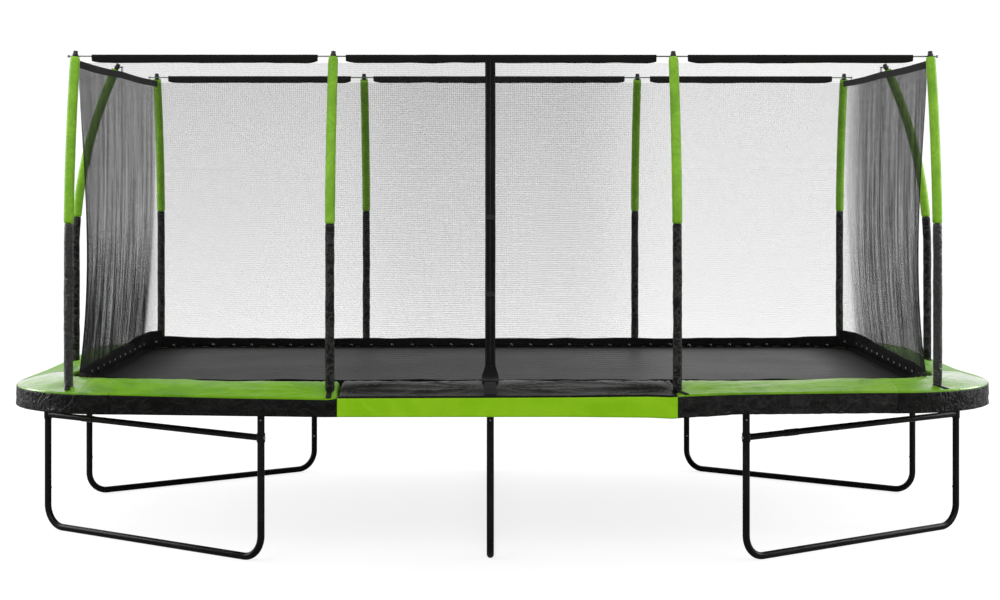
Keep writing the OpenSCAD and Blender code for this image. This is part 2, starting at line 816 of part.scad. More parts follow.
// A slab with round corners, made of parts that meet on flat faces
module slab(x, y, r, h) {
    translate([-x + r, -y, 0]) cube([2 * (x - r), 2 * y, h]);
    for (s = [-1, 1]) translate([s > 0 ? x - r : -x, -y + r, 0]) cube([r, 2 * (y - r), h]);
    for (sx = [-1, 1], sy = [-1, 1])
        translate([sx * (x - r), sy * (y - r), 0])
            mirror([sx < 0 ? 1 : 0, 0, 0]) mirror([0, sy < 0 ? 1 : 0, 0])
                rotate_extrude(angle = 90, $fn = fine) square([r, h]);
}

// The jumping surface stands a little proud inside its sewn border
surface_rise = border_t + 0.2;
surface_in = border_w + 1;
module mat() {
    color([0.33, 0.32, 0.33]) {
        translate([0, 0, mat_z]) slab(mat_x, mat_y, mat_r, mat_t);
        translate([0, 0, mat_top])
            slab(mat_x - surface_in, mat_y - surface_in, mat_r - surface_in, surface_rise);
    }
}

module mat_border() {
    color([0.1, 0.1, 0.1]) translate([0, 0, mat_top]) difference() {
        slab(mat_x, mat_y, mat_r, border_t);
        translate([0, 0, -1])
            slab(mat_x - border_w, mat_y - border_w, mat_r - border_w, border_t + 2);
    }
}

// Stands children at each spring, on the rail's centre line, with +X towards the mat
module at_springs() {
    for (side = [-1, 1], x = spread(springs_long, cx))
        translate([x, side * half_w, 0]) rotate([0, 0, -90 * side]) children();
    for (side = [-1, 1], y = spread(springs_short, cy))
        translate([side * half_l, y, 0]) rotate([0, 0, 90 + 90 * side]) children();
    for (sx = [-1, 1], sy = [-1, 1], i = [0:springs_corner - 1])
        at_corner(sx, sy) rotate([0, 0, corner_angle(i)])
            translate([corner_r, 0, 0]) rotate([0, 0, 180]) children();
}

ring_at = spring_gap - ring_d / 2 - 0.5;
ring_z = mat_z + mat_t / 2;

module v_rings() {
    color([0.6, 0.6, 0.6]) at_springs() translate([ring_at, 0, ring_z])
        rotate_extrude($fn = mid) translate([(ring_d - ring_wire) / 2, 0]) circle(d = ring_wire, $fn = low);
}

// A spring: a coil body, with a hooked end in the rail and one in the ring
module springs() {
    hook_at = ring_at - ring_d / 2 + ring_wire + wire_d / 2 + 0.5;
    hook_h = 9;
    tail_at = tube_d / 4;
    coil_from = tube_d / 2 + 24;
    coil_to = ring_at - ring_d / 2 - 16;
    cone = 10;
    color([0.7, 0.7, 0.7]) at_springs() translate([0, 0, rail_z + hook_rise]) {
        rotate([0, 90, 0]) rotate_extrude($fn = low) polygon([
            [0, tail_at], [wire_d / 2, tail_at], [wire_d / 2, coil_from], [spring_d / 2, coil_from + cone],
            [spring_d / 2, coil_to - cone], [wire_d / 2, coil_to], [wire_d / 2, hook_at], [0, hook_at]
        ]);
        translate([tail_at, 0, -hook_h]) cylinder(d = wire_d, h = hook_h, $fn = low);
        translate([hook_at, 0, 0]) cylinder(d = wire_d, h = hook_h, $fn = low);
    }
}

// Ties hold the net's bottom hem to the mat's border
ties_long = 30;
ties_short = 16;
module net_ties() {
    tie_w = 14;
    tie_t = 4;
    color([0.1, 0.1, 0.1]) translate([0, 0, mat_top + border_t + fit]) {
        for (side = [-1, 1], x = spread(ties_long, net_x))
            translate([x - tie_w / 2, side * net_y - tie_t / 2, 0]) cube([tie_w, tie_t, tie_h - 2 * fit]);
        for (side = [-1, 1], y = spread(ties_short, net_y))
            translate([side * net_x - tie_t / 2, y - tie_w / 2, 0]) cube([tie_t, tie_w, tie_h - 2 * fit]);
    }
}

long_rail(-1, true);  // rail_front_left
long_rail(-1, false);  // rail_front_right
long_rail(1, true);  // rail_back_left
long_rail(1, false);  // rail_back_right
short_rail(-1);  // rail_left
short_rail(1);  // rail_right
corner_tube(-1, -1);  // corner_front_left
corner_tube(1, -1);  // corner_front_right
corner_tube(-1, 1);  // corner_back_left
corner_tube(1, 1);  // corner_back_right
leg_sockets();
pole_sockets();
leg_base(LEGS[0]);  // base_front_left
leg_base(LEGS[1]);  // base_front_right
leg_base(LEGS[2]);  // base_back_left
leg_base(LEGS[3]);  // base_back_right
leg_base(LEGS[4]);  // base_middle
leg_uprights();
leg_screws();
brace(LEGS[0]);  // brace_front_left
brace(LEGS[1]);  // brace_front_right
brace(LEGS[2]);  // brace_back_left
brace(LEGS[3]);  // brace_back_right
brace_couplings();
brace_clamps();
brace_bolts();
pole_lower_tubes();
pole_upper_tubes();
vinyl_sleeves();
foam_sleeves();
pole_caps();
pole_hooks();
top_rod(-1);  // top_rod_front
top_rod(1);  // top_rod_back
top_strap(-1);  // top_strap_left
top_strap(1);  // top_strap_right
long_net(-1);  // net_front
long_net(1);  // net_back
end_net(-1);  // net_left
end_net(1);  // net_right
entrance_band();
buckle_sockets();
buckle_plug(buckle_upper_z);  // buckle_plug_upper
buckle_plug(buckle_lower_z);  // buckle_plug_lower
zip_tape();
zip_slider();
left_pad(-1);  // pad_front_left
middle_pad(-1);  // pad_front_middle
right_pad(-1);  // pad_front_right
left_pad(1);  // pad_back_left
middle_pad(1);  // pad_back_middle
right_pad(1);  // pad_back_right
end_pad(-1);  // pad_left
end_pad(1);  // pad_right
corner_pads();
mat();
mat_border();
v_rings();
net_ties();
springs();
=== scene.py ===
import math
from functools import partial
import bmesh
import bpy
import numpy as np
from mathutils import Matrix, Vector, noise


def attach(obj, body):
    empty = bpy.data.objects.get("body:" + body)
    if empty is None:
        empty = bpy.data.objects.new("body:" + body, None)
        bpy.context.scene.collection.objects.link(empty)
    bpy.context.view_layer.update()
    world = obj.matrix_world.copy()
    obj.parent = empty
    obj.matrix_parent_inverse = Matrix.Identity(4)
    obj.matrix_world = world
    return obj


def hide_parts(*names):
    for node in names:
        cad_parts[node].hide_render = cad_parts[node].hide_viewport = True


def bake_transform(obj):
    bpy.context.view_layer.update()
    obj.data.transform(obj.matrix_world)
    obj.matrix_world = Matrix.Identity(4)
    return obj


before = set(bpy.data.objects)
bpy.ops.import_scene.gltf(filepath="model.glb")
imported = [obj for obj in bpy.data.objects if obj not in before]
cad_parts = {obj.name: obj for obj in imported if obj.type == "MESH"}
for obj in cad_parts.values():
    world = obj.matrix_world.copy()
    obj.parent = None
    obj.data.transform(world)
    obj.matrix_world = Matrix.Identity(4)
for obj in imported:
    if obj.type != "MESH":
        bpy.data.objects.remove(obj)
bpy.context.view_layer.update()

# All sizes are in metres. The rail ring, between tube centres: half length, half width, corner radius
HALF_L, HALF_W, CORNER_R = 2.590, 1.505, 0.545
CORNER_X, CORNER_Y = HALF_L - CORNER_R, HALF_W - CORNER_R
# Where the poles start to bend, the height over which they bend, and the height of the rods
BEND_Z, BEND_H, ROD_Z = 1.550, 1.098, 2.652
# The mat's half length, half width and corner radius, and the gap that the springs bridge
MAT_X, MAT_Y, MAT_R = 2.358, 1.273, 0.313
SPRING_GAP = HALF_L - MAT_X
# The net: half length and half width, its bottom, its top, and its top at the ends
NET_X, NET_Y, NET_LOW, NET_HIGH, END_NET_HIGH = 2.277, 1.212, 0.8785, 2.617, 2.598
# How far the pads reach out from the rails' centre, their width, and X of the entrance band
PAD_OUT, PAD_W, BAND_X = 0.060, 0.300, -0.070

# Each pole is (x, y, direction of its lean, length of its lean, name)
outer_y = CORNER_Y + math.sqrt(0.510 ** 2 - 0.241 ** 2)
POLES = []
for side, row in ((-1, "front"), (1, "back")):
    for number, x in enumerate((-2.286, -0.909, 0.909, 2.286), 1):
        y = outer_y if abs(x) > 2 else 1.470
        POLES.append((x, side * y, (0, -side), y - 1.246, f"{row}_{number}"))
POLES += [(-2.555, 0, (1, 0), 0.244, "left_end"), (2.555, 0, (-1, 0), 0.244, "right_end")]


# ---- Mesh helpers ----

def collection_piece(name, verts, faces, material, smooth=True):
    mesh = bpy.data.meshes.new(name)
    mesh.from_pydata(np.asarray(verts, float).reshape(-1, 3).tolist(), [], faces)
    for face in mesh.polygons:
        face.use_smooth = smooth
    mesh.materials.append(material)
    obj = bpy.data.objects.new(name, mesh)
    bpy.context.collection.objects.link(obj)
    return obj


def quads(rows, columns, close_rows, close_columns, start):
    """Faces of a grid of points, row by row."""
    i = np.arange(rows if close_rows else rows - 1)
    j = np.arange(columns if close_columns else columns - 1)
    i, j = np.meshgrid(i, j, indexing="ij")
    i2, j2 = (i + 1) % rows, (j + 1) % columns
    at = lambda a, b: (start + a * columns + b).ravel()
    return np.stack([at(i, j), at(i2, j), at(i2, j2), at(i, j2)], axis=1).tolist()


def joined(name, parts, material, smooth=True, closed=True):
    """One piece from grids, each (points, close_rows, close_columns, caps). A closed one faces outwards."""
    verts, faces, start = [], [], 0
    for points, close_rows, close_columns, caps in parts:
        points = np.asarray(points, float)
        rows, columns = points.shape[:2]
        verts.append(points.reshape(-1, 3))
        faces += quads(rows, columns, close_rows, close_columns, start)
        if caps:
            faces.append(list(range(start, start + columns)))
            faces.append(list(range(start + (rows - 1) * columns, start + rows * columns))[::-1])
        start += rows * columns
    obj = collection_piece(name, np.concatenate(verts), faces, material, smooth)
    if closed:
        work = bmesh.new()
        work.from_mesh(obj.data)
        bmesh.ops.recalc_face_normals(work, faces=work.faces)
        work.to_mesh(obj.data)
        work.free()
    return obj


def grid_piece(name, points, material, close_rows=False, close_columns=False, caps=False, smooth=True):
    """One piece from one grid of points."""
    closed = caps or (close_rows and close_columns)
    return joined(name, [(points, close_rows, close_columns, caps)], material, smooth, closed)


def tube_rings(path, radius, sides):
    """Rings of points round a path."""
    path = np.asarray(path, float)
    run = np.gradient(path, axis=0)
    run /= np.linalg.norm(run, axis=1, keepdims=True) + 1e-12
    up = np.array([0.31, 0.22, 0.92])
    first = np.cross(run, up)
    first /= np.linalg.norm(first, axis=1, keepdims=True) + 1e-12
    second = np.cross(run, first)
    turn = np.linspace(0, 2 * math.pi, sides, endpoint=False)
    circle = first[:, None] * np.cos(turn)[:, None] + second[:, None] * np.sin(turn)[:, None]
    return path[:, None] + radius * circle


def rough(x, y=0.0, z=0.0):
    return noise.noise(Vector((x, y, z)))


# ---- Shader groups ----

def group(name, inputs, outputs):
    """An empty node group with number inputs {name: default} and outputs, and the sockets inside it."""
    tree = bpy.data.node_groups.new(name, "ShaderNodeTree")
    for label, value in inputs.items():
        socket = tree.interface.new_socket(label, in_out="INPUT", socket_type="NodeSocketFloat")
        socket.default_value = value
    for label in outputs:
        tree.interface.new_socket(label, in_out="OUTPUT", socket_type="NodeSocketFloat")
    return tree, tree.nodes.new("NodeGroupInput").outputs, tree.nodes.new("NodeGroupOutput").inputs


def maths(tree, operation, first, second=None, third=None):
    node = tree.nodes.new("ShaderNodeMath")
    node.operation = operation
    for socket, value in zip(node.inputs, (first, second, third)):
        if value is None:
            continue
        if isinstance(value, (int, float)):
            socket.default_value = value
        else:
            tree.links.new(value, socket)
    return node.outputs[0]


def ramp(tree, value, low, high):
    """A smooth rise from 0 to 1 while a value goes from low to high."""
    node = tree.nodes.new("ShaderNodeMapRange")
    node.interpolation_type = "SMOOTHSTEP"
    node.inputs["From Min"].default_value = low
    node.inputs["From Max"].default_value = high
    tree.links.new(value, node.inputs["Value"])
    return node.outputs[0]


def stretched(tree, scale):
    """Object coordinates, stretched along the axes."""
    place = tree.nodes.new("ShaderNodeTexCoord")
    node = tree.nodes.new("ShaderNodeMapping")
    node.inputs["Scale"].default_value = scale
    tree.links.new(place.outputs["Object"], node.inputs["Vector"])
    return node.outputs[0]


def axes(tree, kind="ShaderNodeTexCoord", label="Object"):
    """X, Y and Z of the object coordinates, or of another vector, as sockets."""
    split = tree.nodes.new("ShaderNodeSeparateXYZ")
    tree.links.new(tree.nodes.new(kind).outputs[label], split.inputs[0])
    return split.outputs


def cloud(tree, vector, scale, detail, roughness, distortion=0.0):
    node = tree.nodes.new("ShaderNodeTexNoise")
    node.inputs["Detail"].default_value = detail
    node.inputs["Roughness"].default_value = roughness
    node.inputs["Distortion"].default_value = distortion
    tree.links.new(vector, node.inputs["Vector"])
    tree.links.new(scale, node.inputs["Scale"])
    return node.outputs["Fac"]


def grain_group():
    """Fine even grain of moulded, coated and foamed surfaces, with slow drift over the piece."""
    tree, given, out = group("fine_grain", {"Scale": 400.0, "Drift Scale": 3.0}, ("Height", "Drift"))
    place = stretched(tree, (1, 1, 1))
    tree.links.new(cloud(tree, place, given["Scale"], 2.0, 0.6), out["Height"])
    drift = cloud(tree, place, given["Drift Scale"], 4.0, 0.6)
    tree.links.new(ramp(tree, drift, 0.3, 0.7), out["Drift"])
    return tree


def folds_group():
    """Creases of coated cloth: ridges of warped noise at two sizes."""
    tree, given, out = group("cloth_creases", {"Scale": 9.0, "Fine Scale": 34.0, "Sharpness": 2.5},
                             ("Height", "Crease"))
    place = stretched(tree, (1, 1, 1))

    def ridge(scale, distortion):
        fold = cloud(tree, place, scale, 2.0, 0.45, distortion)
        away = maths(tree, "ABSOLUTE", maths(tree, "SUBTRACT", fold, 0.5))
        edge = maths(tree, "SUBTRACT", 1.0, maths(tree, "MULTIPLY", away, 5.0))
        return maths(tree, "POWER", maths(tree, "MAXIMUM", edge, 0.0), given["Sharpness"])

    coarse = ridge(given["Scale"], 1.2)
    fine = ridge(given["Fine Scale"], 0.8)
    both = maths(tree, "ADD", coarse, maths(tree, "MULTIPLY", fine, 0.35))
    tree.links.new(both, out["Height"])
    tree.links.new(ramp(tree, both, 0.0, 1.1), out["Crease"])
    return tree


def weave_group():
    """Crossed threads along X, Y and Z at a given pitch in metres."""
    tree, given, out = group("thread_weave", {"Pitch": 0.003}, ("Height", "Shade"))
    rate = maths(tree, "DIVIDE", 2 * math.pi, given["Pitch"])
    waves = []
    for axis in axes(tree):
        swing = maths(tree, "SINE", maths(tree, "MULTIPLY", axis, rate))
        waves.append(maths(tree, "MULTIPLY_ADD", swing, 0.5, 0.5))
    crossed = maths(tree, "MAXIMUM", maths(tree, "MULTIPLY", waves[0], waves[1]),
                    maths(tree, "MULTIPLY", waves[2], maths(tree, "MAXIMUM", waves[0], waves[1])))
    tree.links.new(crossed, out["Height"])
    tree.links.new(ramp(tree, crossed, 0.1, 0.9), out["Shade"])
    return tree


def dust_group():
    """Pale dust on what faces up, broken up by noise."""
    tree, given, out = group("settled_dust", {"Scale": 14.0, "Amount": 0.3}, ("Mask",))
    up = ramp(tree, axes(tree, "ShaderNodeNewGeometry", "Normal")["Z"], 0.2, 1.0)
    blotches = cloud(tree, stretched(tree, (1, 1, 1)), given["Scale"], 5.0, 0.65)
    patches = maths(tree, "MULTIPLY", up, ramp(tree, blotches, 0.42, 0.75))
    tree.links.new(maths(tree, "MULTIPLY", patches, given["Amount"]), out["Mask"])
    return tree


def scuff_group():
    """Thin scuffs and scratches along the height of a part."""
    tree, given, out = group("scuffs", {"Scale": 60.0, "Amount": 0.5}, ("Mask",))
    lines = cloud(tree, stretched(tree, (1, 1, 0.12)), given["Scale"], 6.0, 0.7)
    tree.links.new(maths(tree, "MULTIPLY", ramp(tree, lines, 0.58, 0.72), given["Amount"]), out["Mask"])
    return tree


GRAIN, FOLDS, WEAVE = grain_group(), folds_group(), weave_group()
DUST, SCUFFS = dust_group(), scuff_group()


# ---- Materials ----

def finish(name, roughness=0.5, metallic=0.0, sheen=0.0, coat=0.0, specular=0.5):
    """A new material with constants set on its shader."""
    material = bpy.data.materials.new(name)
    material.use_nodes = True
    tree = material.node_tree
    shader = tree.nodes["Principled BSDF"]
    shader.inputs["Roughness"].default_value = roughness
    shader.inputs["Metallic"].default_value = metallic
    shader.inputs["Sheen Weight"].default_value = sheen
    shader.inputs["Coat Weight"].default_value = coat
    shader.inputs["Coat Roughness"].default_value = 0.15
    shader.inputs["Specular IOR Level"].default_value = specular
    return material, tree, shader


def use(tree, shared, **values):
    """The outputs of a shared group with these inputs."""
    node = tree.nodes.new("ShaderNodeGroup")
    node.node_tree = shared
    for label, value in values.items():
        node.inputs[label.replace("_", " ")].default_value = value
    return node.outputs


def feed(tree, shader, **sockets):
    """Links sockets to the shader's inputs of these names."""
    for label, socket in sockets.items():
        tree.links.new(socket, shader.inputs[label.replace("_", " ")])


def grey(level):
    return level, level, level


def mix(tree, mask, first, second):
    """A colour between two colours, each a tuple or a socket."""
    node = tree.nodes.new("ShaderNodeMix")
    node.data_type = "RGBA"
    tree.links.new(mask, node.inputs["Factor"])
    for socket, value in ((node.inputs[6], first), (node.inputs[7], second)):
        if isinstance(value, tuple):
            socket.default_value = (*value, 1)
        else:
            tree.links.new(value, socket)
    return node.outputs[2]


def bump(tree, shader, height, strength, distance):
    node = tree.nodes.new("ShaderNodeBump")
    node.inputs["Strength"].default_value = strength
    node.inputs["Distance"].default_value = distance
    tree.links.new(height, node.inputs["Height"])
    tree.links.new(node.outputs[0], shader.inputs["Normal"])


def powder_coat():
    material, tree, shader = finish("powder_coat_black", coat=0.04, specular=0.12)
    grain = use(tree, GRAIN, Scale=900.0, Drift_Scale=2.5)
    scuffs = use(tree, SCUFFS, Scale=55.0, Amount=0.5)
    dust = use(tree, DUST, Scale=9.0, Amount=0.25)
    base = mix(tree, grain["Drift"], (0.005, 0.005, 0.0055), (0.011, 0.011, 0.0115))
    worn = mix(tree, scuffs["Mask"], base, grey(0.045))
    feed(tree, shader, Base_Color=mix(tree, dust["Mask"], worn, (0.16, 0.15, 0.14)),
         Roughness=maths(tree, "MULTIPLY_ADD", grain["Drift"], 0.16, 0.26))
    bump(tree, shader, grain["Height"], 0.12, 0.0004)
    return material


def bare_metal(name, dark, light, rough_low, rough_span):
    material, tree, shader = finish(name, metallic=1.0)
    grain = use(tree, GRAIN, Scale=260.0, Drift_Scale=9.0)
    scuffs = use(tree, SCUFFS, Scale=90.0, Amount=0.7)
    base = mix(tree, grain["Drift"], dark, light)
    feed(tree, shader, Base_Color=mix(tree, scuffs["Mask"], base, tuple(0.5 * c for c in dark)),
         Roughness=maths(tree, "MULTIPLY_ADD", grain["Drift"], rough_span, rough_low))
    bump(tree, shader, grain["Height"], 0.2, 0.0004)
    return material


def moulded_plastic(name, dark, light):
    material, tree, shader = finish(name)
    grain = use(tree, GRAIN, Scale=1400.0, Drift_Scale=12.0)
    dust = use(tree, DUST, Scale=30.0, Amount=0.3)
    base = mix(tree, grain["Drift"], dark, light)
    feed(tree, shader, Base_Color=mix(tree, dust["Mask"], base, (0.12, 0.12, 0.11)),
         Roughness=maths(tree, "MULTIPLY_ADD", grain["Height"], 0.25, 0.32))
    bump(tree, shader, grain["Height"], 0.25, 0.0003)
    return material


def foam_skin(name, deep, bright):
    """Closed-cell foam tube: fine cells, slow colour drift, and faint pull marks."""
    material, tree, shader = finish(name, sheen=0.04, specular=0.32)
    grain = use(tree, GRAIN, Scale=700.0, Drift_Scale=7.0)
    creases = use(tree, FOLDS, Scale=11.0, Fine_Scale=60.0, Sharpness=2.0)
    base = mix(tree, grain["Drift"], deep, bright)
    pulled = maths(tree, "MULTIPLY", creases["Crease"], 0.3)
    feed(tree, shader, Base_Color=mix(tree, pulled, base, tuple(0.6 * c for c in deep)),
         Roughness=maths(tree, "MULTIPLY_ADD", grain["Height"], 0.2, 0.42))
    bump(tree, shader, maths(tree, "MULTIPLY_ADD", creases["Height"], 0.8, grain["Height"]), 0.3, 0.0012)
    return material


def coated_vinyl(name, deep, bright, worn, scale, crease_size, roughness, gloss, specular, dusty,
                 polished=None):
    """Vinyl-coated cloth: its creases catch the light through their bump and are painted paler along them,
    partly as wear and partly as painted highlight; its face shows a faint backing weave. `polished` gives two
    distances from the middle, between which its gloss rises to full."""
    material, tree, shader = finish(name, coat=gloss, specular=specular)
    creases = use(tree, FOLDS, Scale=scale, Fine_Scale=scale * 3.7, Sharpness=2.4)
    weave = use(tree, WEAVE, Pitch=0.0022)
    grain = use(tree, GRAIN, Scale=500.0, Drift_Scale=2.2)
    dust = use(tree, DUST, Scale=7.0, Amount=dusty)
    base = mix(tree, grain["Drift"], deep, bright)
    # The worn colour along the creases is partly wear and partly a painted highlight on the ridges.
    creases_worn_and_highlit = mix(tree, maths(tree, "MULTIPLY", creases["Crease"], 0.5), base, worn)
    dust_colour = tuple(min(1.0, 1.5 * c + 0.03) for c in bright)
    if polished:
        shine = ramp(tree, maths(tree, "ABSOLUTE", axes(tree)["X"]), *polished)
        feed(tree, shader, Coat_Weight=maths(tree, "MULTIPLY_ADD", shine, gloss, 0.06))
        roughness = maths(tree, "MULTIPLY_ADD", shine, -0.5 * roughness, roughness)
    feed(tree, shader, Base_Color=mix(tree, dust["Mask"], creases_worn_and_highlit, dust_colour),
         Roughness=maths(tree, "MULTIPLY_ADD", grain["Drift"], 0.15, roughness))
    height = maths(tree, "MULTIPLY_ADD", weave["Height"], 0.06, creases["Height"])
    bump(tree, shader, height, 0.55, crease_size)
    return material


def webbing(name, dark, light, pitch=0.0016, sheen=0.04, specular=0.12):
    material, tree, shader = finish(name, roughness=0.8, sheen=sheen, specular=specular)
    weave = use(tree, WEAVE, Pitch=pitch)
    grain = use(tree, GRAIN, Scale=800.0, Drift_Scale=6.0)
    base = mix(tree, weave["Shade"], dark, light)
    drift = maths(tree, "MULTIPLY", grain["Drift"], 0.4)
    feed(tree, shader, Base_Color=mix(tree, drift, base, tuple(0.7 * c for c in dark)),
         Roughness=maths(tree, "MULTIPLY_ADD", grain["Height"], 0.2, 0.68))
    bump(tree, shader, weave["Height"], 0.6, 0.0006)
    return material


def mat_cloth():
    """Woven tape cloth of the bed, smoother where it is used towards its right, and darkened towards its ends
    by painted shade, where it is also rougher.
    """
    material, tree, shader = finish("bed_weave", specular=0.12)
    weave = use(tree, WEAVE, Pitch=0.0034)
    grain = use(tree, GRAIN, Scale=300.0, Drift_Scale=1.3)
    dust = use(tree, DUST, Scale=3.0, Amount=0.25)
    base = mix(tree, weave["Shade"], (0.018, 0.0170, 0.018), (0.028, 0.027, 0.028))
    drifted = mix(tree, maths(tree, "MULTIPLY", grain["Drift"], 0.35), base, (0.026, 0.025, 0.026))
    dusty = mix(tree, dust["Mask"], drifted, (0.070, 0.068, 0.070))
    along = axes(tree)["X"]
    # Painted shade: towards both ends the colour is darkened to near black, and the weave is made rougher
    # there.
    ends_shaded_and_rougher = ramp(tree, maths(tree, "ABSOLUTE", along), 1.88, 2.30)
    used = ramp(tree, along, -0.6, 1.6)
    worn = maths(tree, "MULTIPLY_ADD", used, -0.13, 0.54)
    rough_weave = maths(tree, "MULTIPLY_ADD", ends_shaded_and_rougher, 0.30, worn)
    feed(tree, shader, Base_Color=mix(tree, ends_shaded_and_rougher, dusty, grey(0.006)),
         Roughness=maths(tree, "MULTIPLY_ADD", grain["Drift"], 0.06, rough_weave))
    bump(tree, shader, weave["Height"], 0.15, 0.0005)
    return material


# Pitch of the net's cross threads, and their share of it: at the ends, in the middle of the long sides, and
# how much less it is where the long sides are stretched, to the right and to the left of the middle
CROSS_PITCH, END_COVER, MIDDLE_COVER, RIGHT_STRETCH, LEFT_STRETCH = 0.0107, 0.065, 0.0725, 0.050, 0.040


def net_fabric():
    """Knitted mesh: opaque cross threads at an even pitch, and clear between them."""
    material, tree, shader = finish("net_mesh", roughness=0.75, specular=0.3)
    grain = use(tree, GRAIN, Scale=500.0, Drift_Scale=1.6)
    place = axes(tree)
    height = maths(tree, "ADD", place["Z"], maths(tree, "MULTIPLY", grain["Drift"], 0.012))
    at = maths(tree, "FRACT", maths(tree, "DIVIDE", height, CROSS_PITCH))
    right = ramp(tree, place["X"], 0.45, 0.95)
    left = ramp(tree, maths(tree, "MULTIPLY", place["X"], -1.0), 0.55, 1.0)
    end = ramp(tree, maths(tree, "ABSOLUTE", place["X"]), 2.20, 2.26)
    long_side = maths(tree, "MULTIPLY_ADD", left, -LEFT_STRETCH, MIDDLE_COVER)
    long_side = maths(tree, "MULTIPLY_ADD", right, -RIGHT_STRETCH, long_side)
    cover = maths(tree, "MULTIPLY_ADD", end, maths(tree, "SUBTRACT", END_COVER, long_side), long_side)
    feed(tree, shader, Base_Color=mix(tree, grain["Drift"], grey(0.010), grey(0.022)),
         Alpha=maths(tree, "LESS_THAN", at, cover))
    bump(tree, shader, grain["Height"], 0.2, 0.0003)
    return material


coat_black = powder_coat()
plastic = moulded_plastic("black_plastic", grey(0.010), grey(0.022))
foam_green = foam_skin("green_foam", (0.225, 0.530, 0.018), (0.330, 0.690, 0.036))
bed_weave, net_mesh = mat_cloth(), net_fabric()

# Metals: dark and light colour, lowest roughness and its span
zinc = bare_metal("zinc_plated", (0.42, 0.42, 0.43), (0.62, 0.62, 0.63), 0.25, 0.2)
spring_wire = bare_metal("galvanised_wire", (0.48, 0.48, 0.49), (0.66, 0.66, 0.67), 0.22, 0.2)
hook_nickel = bare_metal("hook_nickel", grey(0.75), grey(0.92), 0.30, 0.15)
rod_steel = bare_metal("bare_rod", grey(0.30), grey(0.46), 0.3, 0.2)
slider_metal = bare_metal("slider_metal", grey(0.10), grey(0.18), 0.3, 0.2)

# Vinyls: deep and bright colour, the creases' colour (partly wear, partly painted highlight), then the
# creases' scale and depth, roughness, gloss, specular, dust
# Lit and shaded copies of one sleeve vinyl: the paler, glossier one is painted light for the two outer front
# poles, and the darker one is painted shade for the rest, with its creases painted pale as highlights.
sleeve_vinyl = coated_vinyl("black_sleeve_vinyl", (0.005, 0.005, 0.0045), (0.010, 0.010, 0.009),
                            (0.030, 0.030, 0.028), 20.0, 0.006, 0.11, 0.45, 0.5, 0.08)
sleeve_vinyl_painted_shade = coated_vinyl("black_sleeve_vinyl_painted_shade", grey(0.003), (0.006, 0.006, 0.0055),
                                 (0.090, 0.090, 0.085), 20.0, 0.008, 0.13, 0.10, 0.12, 0.04)
pad_green = coated_vinyl("green_pad_vinyl", (0.110, 0.320, 0.003), (0.190, 0.460, 0.006),
                         (0.24, 0.54, 0.015), 3.2, 0.005, 0.30, 0.03, 0.10, 0.03)
pad_green_glossy = coated_vinyl("green_pad_vinyl_glossy", (0.125, 0.340, 0.004), (0.210, 0.470, 0.008),
                                (0.28, 0.56, 0.03), 3.2, 0.005, 0.24, 0.16, 0.26, 0.03)
pad_green_corner = coated_vinyl("green_pad_vinyl_corner", (0.118, 0.330, 0.004), (0.200, 0.465, 0.007),
                                (0.26, 0.55, 0.02), 3.2, 0.006, 0.28, 0.90, 0.18, 0.03, (2.06, 2.38))
pad_black = coated_vinyl("black_pad_vinyl", (0.005, 0.0046, 0.0038), (0.011, 0.0100, 0.0090),
                         (0.019, 0.018, 0.016), 6.0, 0.004, 0.26, 0.03, 0.13, 0.05)
skirt_black = coated_vinyl("black_skirt_vinyl", (0.003, 0.003, 0.0025), (0.006, 0.006, 0.0055),
                           (0.020, 0.020, 0.019), 9.0, 0.014, 0.14, 0.06, 0.09, 0.03)
# A copy of the skirt vinyl for the front right skirt, with deeper creases, more gloss, and its creases
# painted paler as highlights.
skirt_creased_highlit = coated_vinyl("black_skirt_vinyl_creased_highlit", (0.003, 0.003, 0.0025), (0.007, 0.007, 0.0065),
                             (0.040, 0.039, 0.038), 12.0, 0.022, 0.12, 0.16, 0.16, 0.04)
skirt_green = coated_vinyl("green_skirt_vinyl", (0.300, 0.700, 0.003), (0.370, 0.800, 0.005),
                           (0.42, 0.84, 0.015), 3.0, 0.002, 0.38, 0.04, 0.2, 0.2)

# Woven goods: dark and light colour, pitch of the weave, sheen and specular
strap_black = webbing("black_webbing", grey(0.006), grey(0.020))
hem_cloth = webbing("hem_cloth", grey(0.008), (0.022, 0.022, 0.021), 0.0011)
stitch_thread = webbing("stitch_thread", grey(0.16), (0.30, 0.30, 0.29), 0.0008)
low_hem_cloth = webbing("low_hem_cloth", grey(0.004), grey(0.009), 0.0011, 0.0, 0.06)
border_webbing = webbing("border_webbing", grey(0.003), grey(0.007), 0.0016, 0.0, 0.05)
border_thread = webbing("border_thread", grey(0.010), grey(0.020), 0.0008, 0.0, 0.05)
thread_black = webbing("net_thread", grey(0.008), grey(0.020), 0.0010)

# The CAD's own pieces that stay in sight, by the start of their names. A later row counts before an
# earlier one
CARRIED = (
    (coat_black, ("rail_", "corner_front", "corner_back", "leg_sockets", "pole_sockets", "base_",
                  "leg_uprights", "brace_", "pole_lower", "pole_upper")),
    (zinc, ("leg_screws", "brace_bolts", "v_rings")),
    (plastic, ("pole_caps", "pole_hooks", "buckle_")),
    (rod_steel, ("top_rod",)),
    (slider_metal, ("zip_slider",)),
)
for name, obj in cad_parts.items():
    for material, starts in CARRIED:
        if name.startswith(starts):
            obj.data.materials.clear()
            obj.data.materials.append(material)


# ---- Sleeves of the poles ----

